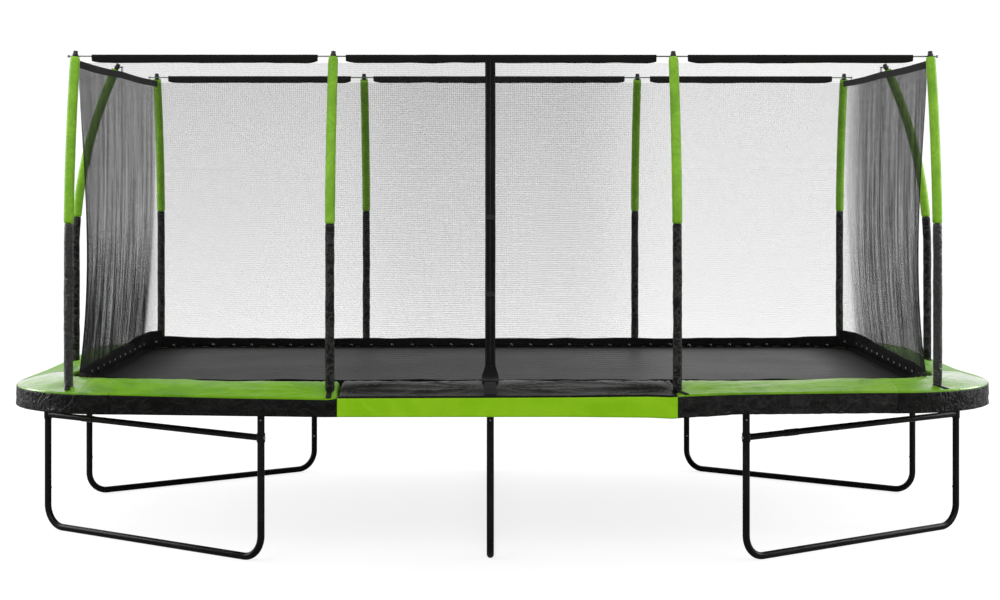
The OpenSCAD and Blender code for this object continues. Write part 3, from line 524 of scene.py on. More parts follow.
# Each sleeve's bottom, top, radius, depth of its wrinkles and number of steps
FOAM_SLEEVE = (1.762, 2.642, 0.0264, 0.0007, 60)
VINYL_SLEEVE = (0.888, 1.7605, 0.0240, 0.0027, 110)
SLEEVE_MOUTH, SEAM_TURN, SEAM_WIDTH = 0.0130, 4.4, 0.12
TIE_THICK, TIE_DRIFT = 0.0024, {"front_1": 0.010, "front_2": 0.0, "front_3": 0.040, "front_4": 0.030}


def pole_frame(pole, z):
    """Centre of a pole at a height, the way it leans there, and the two directions across it."""
    x, y, way, lean = pole[:4]
    radius = (BEND_H ** 2 + lean ** 2) / (2 * lean)
    rise = max(0.0, z - BEND_Z)
    off = radius - math.sqrt(radius ** 2 - rise ** 2)
    angle = math.asin(rise / radius)
    across = np.array([way[0] * math.cos(angle), way[1] * math.cos(angle), -math.sin(angle)])
    beside = np.array([-way[1], way[0], 0.0])
    return np.array([x + way[0] * off, y + way[1] * off, z]), across, beside


def sleeve(name, pole, material, low, high, radius, wrinkle, steps):
    """A closed sleeve round a pole, with its ends drawn in, a side seam and wrinkles."""
    seed = 7.3 * pole[0] + 3.1 * pole[1]
    turn = np.linspace(0, 2 * math.pi, 28, endpoint=False)

    def ring_at(z, radius_at):
        centre, across, beside = pole_frame(pole, z)
        return [centre + radius_at(a) * (math.cos(a) * across + math.sin(a) * beside) for a in turn]

    def wrinkled(a, z, share):
        fold = rough(1.6 * math.cos(a) + seed, 1.6 * math.sin(a), 9 * z)
        crumple = rough(3.5 * math.cos(a), 3.5 * math.sin(a) - seed, 26 * z)
        pinch = min(1.0, 0.90 + 0.1 * math.sqrt(min(share, 1 - share) * (high - low) / 0.012))
        seam = -0.0012 * math.exp(-((a - SEAM_TURN) / SEAM_WIDTH) ** 2)
        return pinch * radius + wrinkle * (0.7 * fold + 0.5 * crumple) + seam

    rings = [ring_at(low, lambda a: SLEEVE_MOUTH)]
    for step in range(steps + 1):
        share = step / steps
        z = low + (high - low) * share
        rings.append(ring_at(z, lambda a, z=z, share=share: wrinkled(a, z, share)))
    rings.append(ring_at(high, lambda a: SLEEVE_MOUTH))
    obj = grid_piece(name, rings, material, close_columns=True, caps=True)
    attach(obj, "frame")
    return obj


def sleeves():
    for pole in POLES:
        green = sleeve(f"foam_sleeve_{pole[4]}", pole, foam_green, *FOAM_SLEEVE)
        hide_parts("foam_sleeves")
        # Painted light: the two outer front poles take the paler copy of the sleeve vinyl, the others the
        # darker copy.
        skin = sleeve_vinyl if pole[4] in ("front_1", "front_4") else sleeve_vinyl_painted_shade
        black = sleeve(f"vinyl_sleeve_{pole[4]}", pole, skin, *VINYL_SLEEVE)
        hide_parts("vinyl_sleeves")
        if pole[1] < -1:
            pole_tie(pole)


def pole_tie(pole):
    """The short strap that ties a front pole's sleeve to the pad's outer edge."""
    x, y, name = pole[0], pole[1] - VINYL_SLEEVE[2], pole[4]
    end = -HALF_W - PAD_OUT + 0.002 if abs(x) < 2 else y - 0.055
    rows = [((x, y + 0.001, 0.912), 0.010, (0, -1, 0)), ((x, y, 0.896), 0.0125, (0, -1, 0.2))]
    for step in range(1, 10):
        share = step / 9
        at_x, at_y = x + TIE_DRIFT[name] * share, y + (end - y) * share
        at_z = pad_height(at_x, at_y, pad_inward(at_x, at_y)) + 0.003
        rows.append(((at_x, at_y, at_z), 0.014, (0, -0.3, 1)))
    tie = ribbon(f"pole_tie_{name}", rows, TIE_THICK, strap_black)
    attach(tie, "frame")
    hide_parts("vinyl_sleeves")


# ---- Net ----

# How far the net stands out at its foot and bows in at half height, by X and Y, and its corner radii
FLARE, BOW, FOOT_CORNER, TOP_CORNER = (0.050, 0.030), (0.010, 0.012), 0.28, 0.012


def net_sizes(share):
    """Half length, half width and corner radius of the net at a share of its height."""
    flare, bow = (1 - share) ** 4, math.sin(math.pi * min(1.0, share))
    corner = max(TOP_CORNER, FOOT_CORNER * max(0.0, 1 - share ** 2) ** 1.5)
    return NET_X + FLARE[0] * flare - BOW[0] * bow, NET_Y + FLARE[1] * flare - BOW[1] * bow, corner


def side_path(long_side, share, places):
    """Points and outward directions along one side of the net, from corner middle to corner middle.
    Long sides face -Y and end sides face -X, before they are turned."""
    x, y, r = net_sizes(share)
    along, away = (x, y) if long_side else (y, x)
    arc = r * math.pi / 4
    straight = 2 * (along - r)
    total = straight + 2 * arc
    at = np.asarray(places) * total
    points, normals = np.zeros((len(at), 2)), np.zeros((len(at), 2))
    left, right = at < arc, at > arc + straight
    middle = ~(left | right)
    points[middle] = np.stack([at[middle] - arc - (along - r), np.full(middle.sum(), -away)], 1)
    normals[middle] = (0, -1)
    for part, sign, gone in ((left, -1, arc - at[left]), (right, 1, at[right] - arc - straight)):
        angle = gone / r
        points[part] = np.stack([sign * (along - r + r * np.sin(angle)),
                                 -(away - r) - r * np.cos(angle)], 1)
        normals[part] = np.stack([sign * np.sin(angle), -np.cos(angle)], 1)
    return points, normals


TURNS = {"front": 0, "right": 90, "back": 180, "left": 270}
LONG_SIDES = ("front", "back")


def turned(side, flat):
    """Turns points of a side that faces -Y to the side of the trampoline that it belongs to."""
    angle = math.radians(TURNS[side])
    out = np.array(flat, float)
    out[..., 0] = flat[..., 0] * math.cos(angle) - flat[..., 1] * math.sin(angle)
    out[..., 1] = flat[..., 0] * math.sin(angle) + flat[..., 1] * math.cos(angle)
    return out


def hang(side, places, heights):
    """Net points over places along a side and shares of the height, in soft folds, and the ways outward."""
    long_side = side in LONG_SIDES
    high = NET_HIGH if long_side else END_NET_HIGH
    grid, outward_way = [], []
    for share in heights:
        points, normals = side_path(long_side, share, places)
        z = np.full((len(points), 1), NET_LOW + (high - NET_LOW) * share)
        depth = (0.002 if long_side else 0.0012) * math.sin(math.pi * min(1, share * 1.02)) ** 0.5
        run = np.cumsum(np.linalg.norm(np.diff(points, axis=0, prepend=points[:1]), axis=1))
        fold = np.array([rough(9 * s, 1.1 * share, TURNS[side]) + 0.5 * rough(24 * s, 2 * share, 5.0)
                         for s in run])
        points = points + normals * (depth * fold)[:, None]
        grid.append(np.hstack([points, z]))
        outward_way.append(np.hstack([normals, np.zeros((len(points), 1))]))
    return turned(side, np.stack(grid, 1)), turned(side, np.stack(outward_way, 1))


# How wide the strands of the long sides look at these X, where the mesh is stretched more or less
STRETCH_X = (-1.0, -0.55, -0.1, 0.1, 0.45, 0.95)
STRETCH_COVER = (1.0, 1.12, 1.12, 1.05, 1.05, 0.68)

# How the mesh of each end is gathered: how dense it is above, how much denser it is below, at the hem and
# towards the front, the strands' depth at the back and its growth to the front, and where they fade out
GATHERS = {"left": (0.62, 0.205, 0.0, 0.06, 0.174, 0.042, 0.10),
           "right": (0.69, 0.06, 0.06, 0.0, 0.184, 0.045, 0.30)}
STRAND_SPACE = 0.0025


def gathered(side, places, heights):
    """Depth of an end's strands, as shares of their spacing, by place along it and share of the height."""
    above, below, at_hem, ahead, deep, growth, faded = GATHERS[side]
    near = (places if side == "left" else 1 - places)[:, None]
    low = 1 - np.clip((heights - 0.1) / 0.4, 0, 1) ** 1.3
    foot = at_hem * (1 - np.clip(heights / 0.15, 0, 1))
    fading = (0.25 + 0.45 * np.clip(heights / 0.6, 0, 1))[None, :]
    cover = (above + below * low + foot)[None, :] * np.clip((near + 0.01) / faded, 0, 1) ** fading
    cover = cover * (1 + ahead * np.clip((near - 0.55) / 0.35, 0, 1))
    uneven = [[0.16 * rough(45 * p, 3 * h, deep) + 0.14 * rough(110 * p, 9 * h, deep) for h in heights]
              for p in places]
    return (cover * (1 + np.array(uneven)) * (deep + growth * near))[..., None]


def threads(side):
    """Upright threads of the net, as three-sided strands, which are deeper in the gathers of the ends."""
    long_side = side in LONG_SIDES
    count = int((2 * (NET_X if long_side else NET_Y)) / STRAND_SPACE)
    heights = np.linspace(0, 1, 9 if long_side else 17)
    places = np.linspace(0.001, 0.999, count)
    points, out = hang(side, places, heights)
    run = np.cross(out, np.array([0, 0, 1.0]))
    wide = (STRAND_SPACE * (0.055 + 0.18 * heights))[None, :, None]
    if long_side:
        wide = wide * np.interp(points[:, 0, 0], STRETCH_X, STRETCH_COVER)[:, None, None]
    deep = wide if long_side else STRAND_SPACE * gathered(side, places, heights)
    strands = np.stack([points + run * wide / 2, points - run * wide / 2, points + out * deep], 2)
    verts = strands.reshape(-1, 3)
    faces = []
    for strand in range(count):
        faces += quads(len(heights), 3, False, True, strand * len(heights) * 3)
    return collection_piece(f"net_{side}_threads", verts, faces, thread_black)


# Foot, full height and half thickness of the net's hem
HEM_FOOT, HEM_HIGH, HEM_HALF = 0.8665, 0.07, 0.0016


def low_hem(side):
    """The doubled hem along the bottom of the net, with a wavy upper edge."""
    long_side = side in LONG_SIDES
    places = np.linspace(0, 1, 260 if long_side else 150)
    levels = (0.0, 0.25, 0.5, 0.75, 1.0)
    tops = []
    for p in places:
        corner = math.exp(-min(p, 1 - p) * (NET_X if long_side else NET_Y) / 0.10)
        back = 1 - p if side == "left" else p
        top = 0.042 + 0.022 * corner if long_side else 0.066 + 0.036 * back
        wave = (0.006 if long_side else 0.012) * rough(7 * p * (2 if long_side else 1), TURNS[side])
        tops.append(top + wave + 0.004 * rough(31 * p, 2.0))
    tops = np.array(tops)
    points, out = (part[:, 0] for part in hang(side, places, [0.0]))
    rise = hang(side, places, [HEM_HIGH / (NET_HIGH - NET_LOW)])[0][:, 0] - points
    rows = []
    for offset, shares in ((HEM_HALF, levels), (-HEM_HALF, levels[::-1])):
        for share in shares:
            at = points + rise * share
            at[:, 2] = HEM_FOOT + share * (tops + 0.0125)
            billow = np.array([0.004 * math.sin(math.pi * share) * rough(13 * p + 3, 4.0) for p in places])
            rows.append(at + out * (offset + billow)[:, None])
    return grid_piece(f"net_{side}_low_hem", np.stack(rows, 1), low_hem_cloth, close_columns=True,
                      caps=True)


# From where to where each rod sleeve runs, and the right half of its section round the rod
SPANS = ((-2.205, -0.995), (-0.845, 0.822), (0.990, 2.200))
ROD_SLEEVE = [(0.0062, 0.0068), (0.0092, 0.0), (0.0078, -0.010), (0.0045, -0.022), (0.0022, -0.035)]


def rod_sleeve(side, number, first, last):
    """The fabric sleeve that holds the rod, with gathers along it."""
    sign = -1 if side == "front" else 1
    steps = int((last - first) / 0.012)
    profile = [(0.0, 0.0092), *ROD_SLEEVE, (0.0, -0.0362), *[(-y, z) for y, z in ROD_SLEEVE[::-1]]]
    rows = []
    for step in range(steps + 1):
        x = first + (last - first) * step / steps
        ring = []
        for y, z in profile:
            gather = 1 + 0.22 * rough(22 * x, 40 * z, 5 * sign + number)
            droop = 0.0035 * rough(3.1 * x, number, sign) * (-z / 0.036 if z < 0 else 0)
            end = min(step, steps - step) * (last - first) / steps
            slack = 0.72 + 0.28 * min(1.0, end / 0.05) ** 0.6 if z < -0.002 else 1.0
            hung = slack * z * (1 + 0.08 * rough(9 * x, 3.0, z)) + droop
            ring.append((x, sign * NET_Y + y * gather, ROD_Z + hung))
        rows.append(ring)
    return grid_piece(f"rod_sleeve_{side}_{number}", rows, hem_cloth, close_columns=True, caps=True)


def nets():
    for side in TURNS:
        long_side = side in LONG_SIDES
        columns = 150 if long_side else 90
        points = hang(side, np.linspace(0, 1, columns), np.linspace(0, 1, 30))[0]
        veil = grid_piece(f"net_{side}", points, net_mesh)
        strands = threads(side)
        hem = low_hem(side)
        if long_side:
            for number, (first, last) in enumerate(SPANS, 1):
                held = rod_sleeve(side, number, first, last)
                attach(held, "frame")
        for obj in (veil, strands, hem):
            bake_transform(obj)
        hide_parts(f"net_{side}")


# Bottom, top, half thickness and sag of the straps across the ends
STRAP_LOW, STRAP_HIGH, STRAP_HALF, STRAP_SAG = 2.5905, 2.6305, 0.0016, 0.006


def end_straps():
    for side, sign in (("left", -1), ("right", 1)):
        rows = []
        for step in range(121):
            y = -NET_Y + 2 * NET_Y * step / 120
            sag = STRAP_SAG * math.sin(math.pi * abs(y) / NET_Y)
            x = sign * (NET_X + 0.002 * rough(5 * y, sign))
            low, high = STRAP_LOW - sag, STRAP_HIGH - sag + 0.001 * rough(20 * y, 4)
            rows.append([(x - STRAP_HALF, y, low), (x + STRAP_HALF, y, low),
                         (x + STRAP_HALF, y, high), (x - STRAP_HALF, y, high)])
        strap = grid_piece(f"top_strap_{side}", rows, strap_black, close_columns=True, caps=True,
                           smooth=False)
        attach(strap, "frame")
        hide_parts(f"top_strap_{side}")


# ---- Entrance ----

# A strap's section: shares of its half width and thickness
STRAP_SECTION = ((-1, 0.0), (-0.94, 0.5), (0, 0.55), (0.94, 0.5), (1, 0.0), (0.94, -0.5), (0, -0.5),
                 (-0.94, -0.5))
NET_HALF, BAND_TOP, BAND_LOW = 0.0015, 2.655, 0.9950
# Below, the band widens and turns over the pad, by rows of (height, half width, distance in front of the
# band) and then (Y, half width)
BAND_FLARE = ((0.975, 0.033, 0.002), (0.955, 0.040, 0.006), (0.940, 0.045, 0.014), (0.932, 0.0455, 0.030))
BAND_ON_PAD = ((-1.275, 0.0455), (-1.305, 0.0445), (-1.345, 0.0425), (-1.385, 0.040))
BAND_HALF, BAND_THICK, TAIL_HALF, TAIL_THICK, TAIL_FROM, TAIL_TO = 0.0275, 0.0028, 0.032, 0.0026, 1.370, 1.563
# The band's seams and the zip's teeth: how far from the middle, the first one's height, pitch and number
BAND_SEAM, STITCH_TOP, STITCH_PITCH, BAND_STITCHES = 0.0215, 2.63, 0.0108, 150
TOOTH_SIDE, TOOTH_FOOT, TOOTH_PITCH, TEETH = 0.0011, 0.882, 0.004, 430


def ribbon(name, rows, thickness, material):
    """A flat strap from rows of (centre, half width, face direction), with rounded edges."""
    rings = []
    for centre, half, face in rows:
        centre, face = np.array(centre, float), np.array(face, float)
        rings.append([centre + np.array([half * u, 0, 0]) + face * thickness * v for u, v in STRAP_SECTION])
    return grid_piece(name, rings, material, close_columns=True, caps=True)


def small_block(x0, x1, y0, y1, z0, z1):
    """A block between two heights, as a part for joined."""
    corners = ((x0, y0), (x1, y0), (x1, y1), (x0, y1))
    return [[(x, y, z) for x, y in corners] for z in (z0, z1)], False, True, True


def entrance():
    front = -(NET_Y + NET_HALF + 0.0018)
    rows = []
    for step in range(90):
        z = BAND_TOP - (BAND_TOP - BAND_LOW) * step / 89
        centre = (BAND_X + 0.0015 * rough(2 * z, 3), front - 0.001 * rough(4 * z), z)
        rows.append((centre, BAND_HALF, (0, -1, 0)))
    for z, half, ahead in BAND_FLARE:
        rows.append(((BAND_X, front - ahead, z), half, (0, -0.9, 0.4)))
    for y, half in BAND_ON_PAD:
        rows.append(((BAND_X, y, pad_height(BAND_X, y, HALF_W + PAD_OUT + y) + 0.006), half, (0, -0.15, 1)))
    band = ribbon("entrance_band", rows, BAND_THICK, strap_black)
    rows = []
    for step in range(24):
        y = -TAIL_FROM - (TAIL_TO - TAIL_FROM) * step / 23
        z = pad_height(BAND_X, y, HALF_W + PAD_OUT + y) + 0.0035 + 0.0012 * rough(20 * y)
        rows.append(((BAND_X, y, z), TAIL_HALF, (0, -0.15, 1)))
    tail = ribbon("entrance_tail", rows, TAIL_THICK, strap_black)
    stitches = []
    y = front - 0.0019
    for x in (BAND_X - BAND_SEAM, BAND_X, BAND_X + BAND_SEAM):
        for step in range(BAND_STITCHES):
            z = STITCH_TOP - STITCH_PITCH * step
            stitches.append(small_block(x - 0.0006, x + 0.0006, y, y - 0.0007, z, z - 0.006))
    sewn = joined("entrance_band_stitches", stitches, stitch_thread, smooth=False)
    for obj in (band, sewn, tail):
        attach(obj, "frame")
    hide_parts("entrance_band")
    inner = -NET_Y + NET_HALF + 0.0008
    tape = [((BAND_X, inner, z), 0.013, (0, 1, 0)) for z in np.linspace(NET_LOW, NET_HIGH, 61)]
    zip_tape = ribbon("zip_tape", tape, 0.0011, strap_black)
    teeth = []
    for step in range(TEETH):
        x, z = BAND_X + (TOOTH_SIDE if step % 2 else -TOOTH_SIDE), TOOTH_FOOT + TOOTH_PITCH * step
        teeth.append(small_block(x - 0.0018, x + 0.0018, inner + 0.0006, inner + 0.0016, z, z + 0.0024))
    zip_teeth = joined("zip_teeth", teeth, plastic, smooth=False)
    for obj in (zip_tape, zip_teeth):
        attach(obj, "frame")
        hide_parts("zip_tape")


# ---- Pads ----

# Where folds fan out over the pads: X, Y and their share of the full depth
FOLD_CENTRES = [(pole[0], pole[1], 1.0) for pole in POLES] + [(BAND_X, -1.45, 0.6)]
PAD_UNDER, PAD_BACK_EDGE, PAD_BACK_HEM, PAD_CREST = 0.8665, 0.868, 0.767, 0.924
PAD_RIM, PAD_ROUND, PAD_FLAT = 0.010, 0.016, PAD_W - 0.016
# How much higher the front ends are than the middle, how much lower the back is, and the dents at the poles
END_RISE, BACK_DROP, DENT_DEPTH, DENT_REACH = 0.012, 0.024, 0.010, 0.06
SEAMS, SEAM_HALF, SKIRT_LAP, RAIL_FRONT_Z = (-0.864, 0.902), 0.0006, 0.0012, 0.838
# At these X along the front: height of the pads' outer edge, and of the skirts' bottom edge
FRONT_X = (-2.05, -1.93, -1.35, -0.91, -0.86, 0.35, 0.75, 0.87, 0.93, 1.19, 1.90)
FRONT_EDGE = (0.878, 0.875, 0.860, 0.852, 0.860, 0.8645, 0.8685, 0.865, 0.8685, 0.878, 0.887)
FRONT_HEM = (0.778, 0.777, 0.769, 0.764, 0.764, 0.764, 0.760, 0.754, 0.758, 0.775, 0.781)


def eased(value, low, high):
    share = max(0.0, min(1.0, (value - low) / (high - low)))
    return share * share * (3 - 2 * share)


def edge_heights(x, y):
    """Heights of a pad's outer edge and of its skirt's bottom edge."""
    front = eased(-y, 0.2, 1.0)
    return (PAD_BACK_EDGE + front * (float(np.interp(x, FRONT_X, FRONT_EDGE)) - PAD_BACK_EDGE),
            PAD_BACK_HEM + front * (float(np.interp(x, FRONT_X, FRONT_HEM)) - PAD_BACK_HEM))


def pad_inward(x, y):
    """Distance from the pads' outer edge, near a long side or round a corner."""
    if abs(x) < CORNER_X:
        return HALF_W + PAD_OUT - abs(y)
    return CORNER_R + PAD_OUT - math.hypot(abs(x) - CORNER_X, abs(y) - CORNER_Y)


def pad_height(x, y, inward):
    """Height of a pad's top, which is lower at the back and round the poles."""
    edge = edge_heights(x, y)[0]
    crest = PAD_CREST + END_RISE * eased(abs(x), 1.4, 1.9) * eased(-y, 0.2, 1.0)
    crest -= BACK_DROP * eased(y, 0.3, 1.2)
    share = max(0.0, min(1.0, inward / PAD_FLAT))
    dent = 0.0
    for pole in POLES:
        away = math.hypot(x - pole[0], y - pole[1])
        if away < 0.2:
            dent += DENT_DEPTH * math.exp(-(away / DENT_REACH) ** 2)
    rim = PAD_RIM * min(1.0, max(0.0, inward) / 0.005) ** 0.5
    return edge + rim + (crest - edge - PAD_RIM) * math.sin(math.radians(115 * share ** 1.1)) - dent


def fan_folds(x, y):
    """Depth of the folds that fan out over the pads from the poles, mostly along the pads."""
    depth = 0.0
    for centre_x, centre_y, height in FOLD_CENTRES:
        away = math.hypot(x - centre_x, y - centre_y)
        if away < 1.6:
            angle = math.atan2(y - centre_y, x - centre_x)
            along = max(abs(math.cos(angle)), abs(math.sin(angle))) ** 8
            bend = 1.6 * rough(1.3 * x, 1.3 * y, centre_x) + 0.5 * rough(4 * x, 4 * y, 2.0)
            ridge = 1 - 2 * abs(math.sin(14 * angle + bend)) ** 0.7
            depth += height * ridge * along * math.exp(-away / 0.65) * min(1.0, away / 0.10)
    return depth


def pad_profile():
    """Points round a pad's section: distance from the outer edge, what it is, and its height or turn."""
    loop = [(s, "top", 0.0) for s in (0.0, 0.0005, 0.0015, 0.003, 0.005)]
    loop += [(PAD_FLAT * share, "top", 0.0) for share in np.linspace(0, 1, 36)[1:]]
    for turn in np.radians((60, 30, 0, -30, -60)):
        loop.append((PAD_FLAT + PAD_ROUND * math.cos(turn), "inner", math.sin(turn)))
    return loop + [(PAD_FLAT, "under", PAD_UNDER), (0.14, "under", PAD_UNDER), (0.046, "under", PAD_UNDER),
                   (0.027, "under", 0.8500), (0.001, "under", 0.8470)]


def straight_side(side, x, inward, z):
    """A point of a pad that runs along a side, at x from left to right as seen from outside."""
    reach = HALF_W if side in LONG_SIDES else HALF_L
    return turned(side, np.array([x, -(reach + PAD_OUT - inward), z]))


# The corners counterclockwise from the front left, as the signs of X and Y
CORNERS = ((-1, -1), (1, -1), (1, 1), (-1, 1))


def round_corner(number, angle, inward, z):
    """A point of a corner's pad, at an angle from the end sides towards the long sides."""
    sx, sy = CORNERS[number]
    r = CORNER_R + PAD_OUT - inward
    return np.array([sx * (CORNER_X + r * math.cos(angle)), sy * (CORNER_Y + r * math.sin(angle)), z])


def pad_piece(name, place, length, first, last, material, sewn, folds):
    """A crowned pad. The ends that sewn tells of are drawn in at their seams."""
    steps = max(24, int(length / 0.011))
    rows = []
    for step in range(steps + 1):
        share = step / steps
        u = first + (last - first) * share
        end = min(share * length if sewn[0] else 1, (1 - share) * length if sewn[1] else 1)
        full = math.sqrt(min(1.0, end / 0.022))
        ring = []
        for s, kind, value in pad_profile():
            point = place(u, s, value)
            if kind != "under":
                x, y = point[0], point[1]
                point[2] = pad_height(x, y, s)
                weight = 1.0
                if kind == "inner":
                    half = (point[2] - PAD_UNDER) / 2
                    point[2] = PAD_UNDER + half * (1 + value)
                    weight = max(0.0, 0.45 * value)
                edge = edge_heights(x, y)[0]
                point[2] = edge + (point[2] - edge) * (0.35 + 0.65 * full)
                soft = 0.0034 * rough(3.0 * x, 5.0 * y, 1.0) + 0.0016 * rough(11 * x, 13 * y, 4.0)
                point[2] += weight * full * min(1.0, s / 0.05) * (soft + folds * fan_folds(x, y))
            ring.append(point)
        rows.append(ring)
    obj = grid_piece(name, rows, material, close_columns=True, caps=True)
    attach(obj, "frame")
    return obj


def skirt_piece(name, place, length, first, last, material, depth, pitch, seed):
    """The skirt that hangs from a pad's outer edge, with a turned hem. Its wrinkles have a pitch per metre,
    and beside the rail they only swing outwards."""
    steps = max(24, int(length / 0.010))
    levels = np.linspace(0, 1, 13)
    rows = []
    for step in range(steps + 1):
        share = step / steps
        u = first + (last - first) * share
        run = share * length + seed
        top, bottom = edge_heights(*place(u, 0.0, 0.0)[:2])
        outer, inner = [], []
        for level in levels:
            z = top + (bottom - top) * level
            wrinkle = rough(pitch * run + 1.5 * level, 2 * level, seed)
            wrinkle += 0.6 * rough(3.1 * pitch * run - level, 4 * level, seed)
            swing = depth * min(1.0, 0.1 + 1.6 * level) * wrinkle
            swing = min(swing, 0.0) if z > RAIL_FRONT_Z else swing
            hem = 0.0010 if level > 0.86 else 0.0
            outer.append(place(u, -0.0024 + swing - hem * 0.6, z))
            inner.append(place(u, -0.0002 + swing + hem, z))
        rows.append(outer + inner[::-1])
    obj = grid_piece(name, rows, material, close_columns=True, caps=True)
    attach(obj, "frame")
    return obj


def pads():
    for side in LONG_SIDES:
        turn = 1 if side == "front" else -1
        spans = {"left": (-CORNER_X, SEAMS[0]), "middle": SEAMS, "right": (SEAMS[1], CORNER_X)}
        for part, (first, last) in spans.items():
            first, last = first + SEAM_HALF, last - SEAM_HALF
            a, b = (first, last) if turn > 0 else (-last, -first)
            green, glossy = part != "middle", side == "front" and part == "right"
            place, length, name = partial(straight_side, side), b - a, f"pad_{side}_{part}"
            if green:
                vinyl, folds, lap = pad_green_glossy if glossy else pad_green, 0.0042, SKIRT_LAP
                # The front right skirt takes the copy of the skirt vinyl whose creases are painted paler as
                # highlights.
                hung = (skirt_creased_highlit, 0.016, 10.0) if glossy else (skirt_black, 0.006, 4.0)
            else:
                vinyl, folds, lap = pad_black, 0.0100, 0.0
                hung = (skirt_green, 0.0010, 3.0)
            sewn = (not (green and a < -1), not (green and b > 1))
            body = pad_piece(name, place, length, a, b, vinyl, sewn, folds)
            skirt = skirt_piece(f"skirt_{side}_{part}", place, length, a - lap, b + lap, *hung,
                                3.7 * a + 11 * turn + 1)
            for obj, is_green in ((body, green), (skirt, not green)):
                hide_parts(name)
    ends = []
    reach = CORNER_Y - SEAM_HALF
    for side in ("left", "right"):
        ends.append((f"pad_{side}", f"pad_{side}", f"skirt_{side}", partial(straight_side, side), 2 * reach,
                     (-reach, reach), 0.0, pad_green, 4.0, 8.0))
    quarter, arc = math.pi / 2, (CORNER_R + PAD_OUT) * math.pi / 2
    for number, corner in enumerate(("front_left", "front_right", "back_right", "back_left")):
        ends.append(("corner_pads", f"corner_pad_{corner}", f"corner_skirt_{corner}",
                     partial(round_corner, number), arc, (-0.001, quarter + 0.001), 0.003,
                     pad_green_corner, 6.0, 3.0 * number))
    for node, name, skirt_name, place, length, (first, last), lap, vinyl, pitch, seed in ends:
        body = pad_piece(name, place, length, first, last, vinyl, (False, False), 0.0032)
        skirt = skirt_piece(skirt_name, place, length, first - lap, last + lap, skirt_black, 0.004, pitch,
                            seed)
        for obj, slot in ((body, "green_pad_vinyl"), (skirt, "black_pad_vinyl")):
            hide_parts(node)


# ---- Bed ----

# The mat's face, its stitched border (inset and height), and the insets of the border's four seams
BED_Z, STITCH_Z, STITCHES = 0.8617, 0.8618, 1400
MAT_EDGE = ((0.04, 0.8571), (0.0, 0.8572), (0.0, 0.8598), (0.090, 0.8600), (0.0915, BED_Z))
BORDER = ((0.0, 0.8601), (0.0, 0.8613), (0.002, 0.8615), (0.045, 0.8616), (0.088, 0.8615), (0.090, 0.8612),
          (0.090, 0.8601))
BORDER_SEAMS = (0.008, 0.043, 0.048, 0.083)


def mat_ring(inset, z, count=240, least=0.0005):
    """Evenly spread points round the mat's outline, at an inset from its edge, from the front left."""
    x, y, r = MAT_X - inset, MAT_Y - inset, max(MAT_R - inset, least)
    arc = r * math.pi / 2
    lengths = [2 * (x - r), arc, 2 * (y - r), arc] * 2
    points = []
    for i in range(count):
        at, leg = sum(lengths) * i / count, 0
        while at > lengths[leg]:
            at -= lengths[leg]
            leg += 1
        quarter = leg // 2
        if leg % 2 == 0:
            start = ((-(x - r), -y), (x, -(y - r)), (x - r, y), (-x, y - r))[quarter]
            way = ((1, 0), (0, 1), (-1, 0), (0, -1))[quarter]
            points.append((start[0] + way[0] * at, start[1] + way[1] * at, z))
        else:
            sx, sy = CORNERS[(quarter + 1) % 4]
            angle = -math.pi / 2 + quarter * math.pi / 2 + at / r
            points.append((sx * (x - r) + r * math.cos(angle), sy * (y - r) + r * math.sin(angle), z))
    return points


def bed():
    rings = [mat_ring(inset, z) for inset, z in MAT_EDGE]
    rings += [mat_ring(inset, BED_Z, least=0.002) for inset in np.linspace(0.14, 1.26, 16)]
    mat = grid_piece("mat", rings, bed_weave, close_columns=True, caps=True)
    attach(mat, "bed")
    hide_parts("mat")
    band = [mat_ring(inset, z, 320) for inset, z in BORDER]
    border = grid_piece("mat_border", band, border_webbing, close_rows=True, close_columns=True)
    stitches = []
    for inset in BORDER_SEAMS:
        path = mat_ring(inset, STITCH_Z, STITCHES)
        for i in range(0, STITCHES, 2):
            stitches.append((tube_rings(path[i:i + 2], 0.0007, 4), False, True, True))
    sewn = joined("mat_border_stitches", stitches, border_thread, smooth=False)
    for obj in (border, sewn):
        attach(obj, "bed")
        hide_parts("mat_border")


# Number of ties along each side, and how far above their feet the hooks sit on the hem
TIES = {"front": (34, 0.010), "back": (34, 0.010), "left": (15, 0.038), "right": (15, 0.038)}
HOOK = ((-0.008, 0.0), (-0.006, 0.007), (0.0, 0.009), (0.006, 0.006), (0.009, -0.004))


def net_ties():
    """Elastic loops from the net's hem to the border, each with a small pale hook inside the hem."""
    loops, hooks = [], []
    for side, (count, above) in TIES.items():
        places = [p + 0.008 * rough(40 * p, TURNS[side]) for p in np.linspace(0.02, 0.98, count)]
        points, out = hang(side, places, [0.0])
        for point, way in zip(points[:, 0], out[:, 0]):
            run = np.cross(way, (0, 0, 1.0))
            foot = np.array([point[0], point[1], 0.8630])
            ring = [foot + run * 0.0065 * math.cos(a) + np.array([0, 0, 0.0098 + 0.0092 * math.sin(a)])
                    for a in np.linspace(0, 2 * math.pi, 14, endpoint=False)]
            loops.append((tube_rings(ring + ring[:2], 0.0014, 6), False, True, False))
            held = foot - way * 0.0075 + np.array([0, 0, above + 0.006 * rough(90 * foot[0], foot[1])])
            hook = [held + run * u + np.array([0, 0, w]) for u, w in HOOK]
            hooks.append((tube_rings(hook, 0.0017, 6), False, True, True))
            strip = [foot - way * 0.0045, held - run * 0.001 + way * 0.0015]
            loops.append((tube_rings(strip, 0.0016, 6), False, True, True))
    loop_piece = joined("net_tie_loops", loops, strap_black)
    hook_piece = joined("net_tie_hooks", hooks, hook_nickel)
    for obj in (loop_piece, hook_piece):
        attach(obj, "bed")
        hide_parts("net_ties")


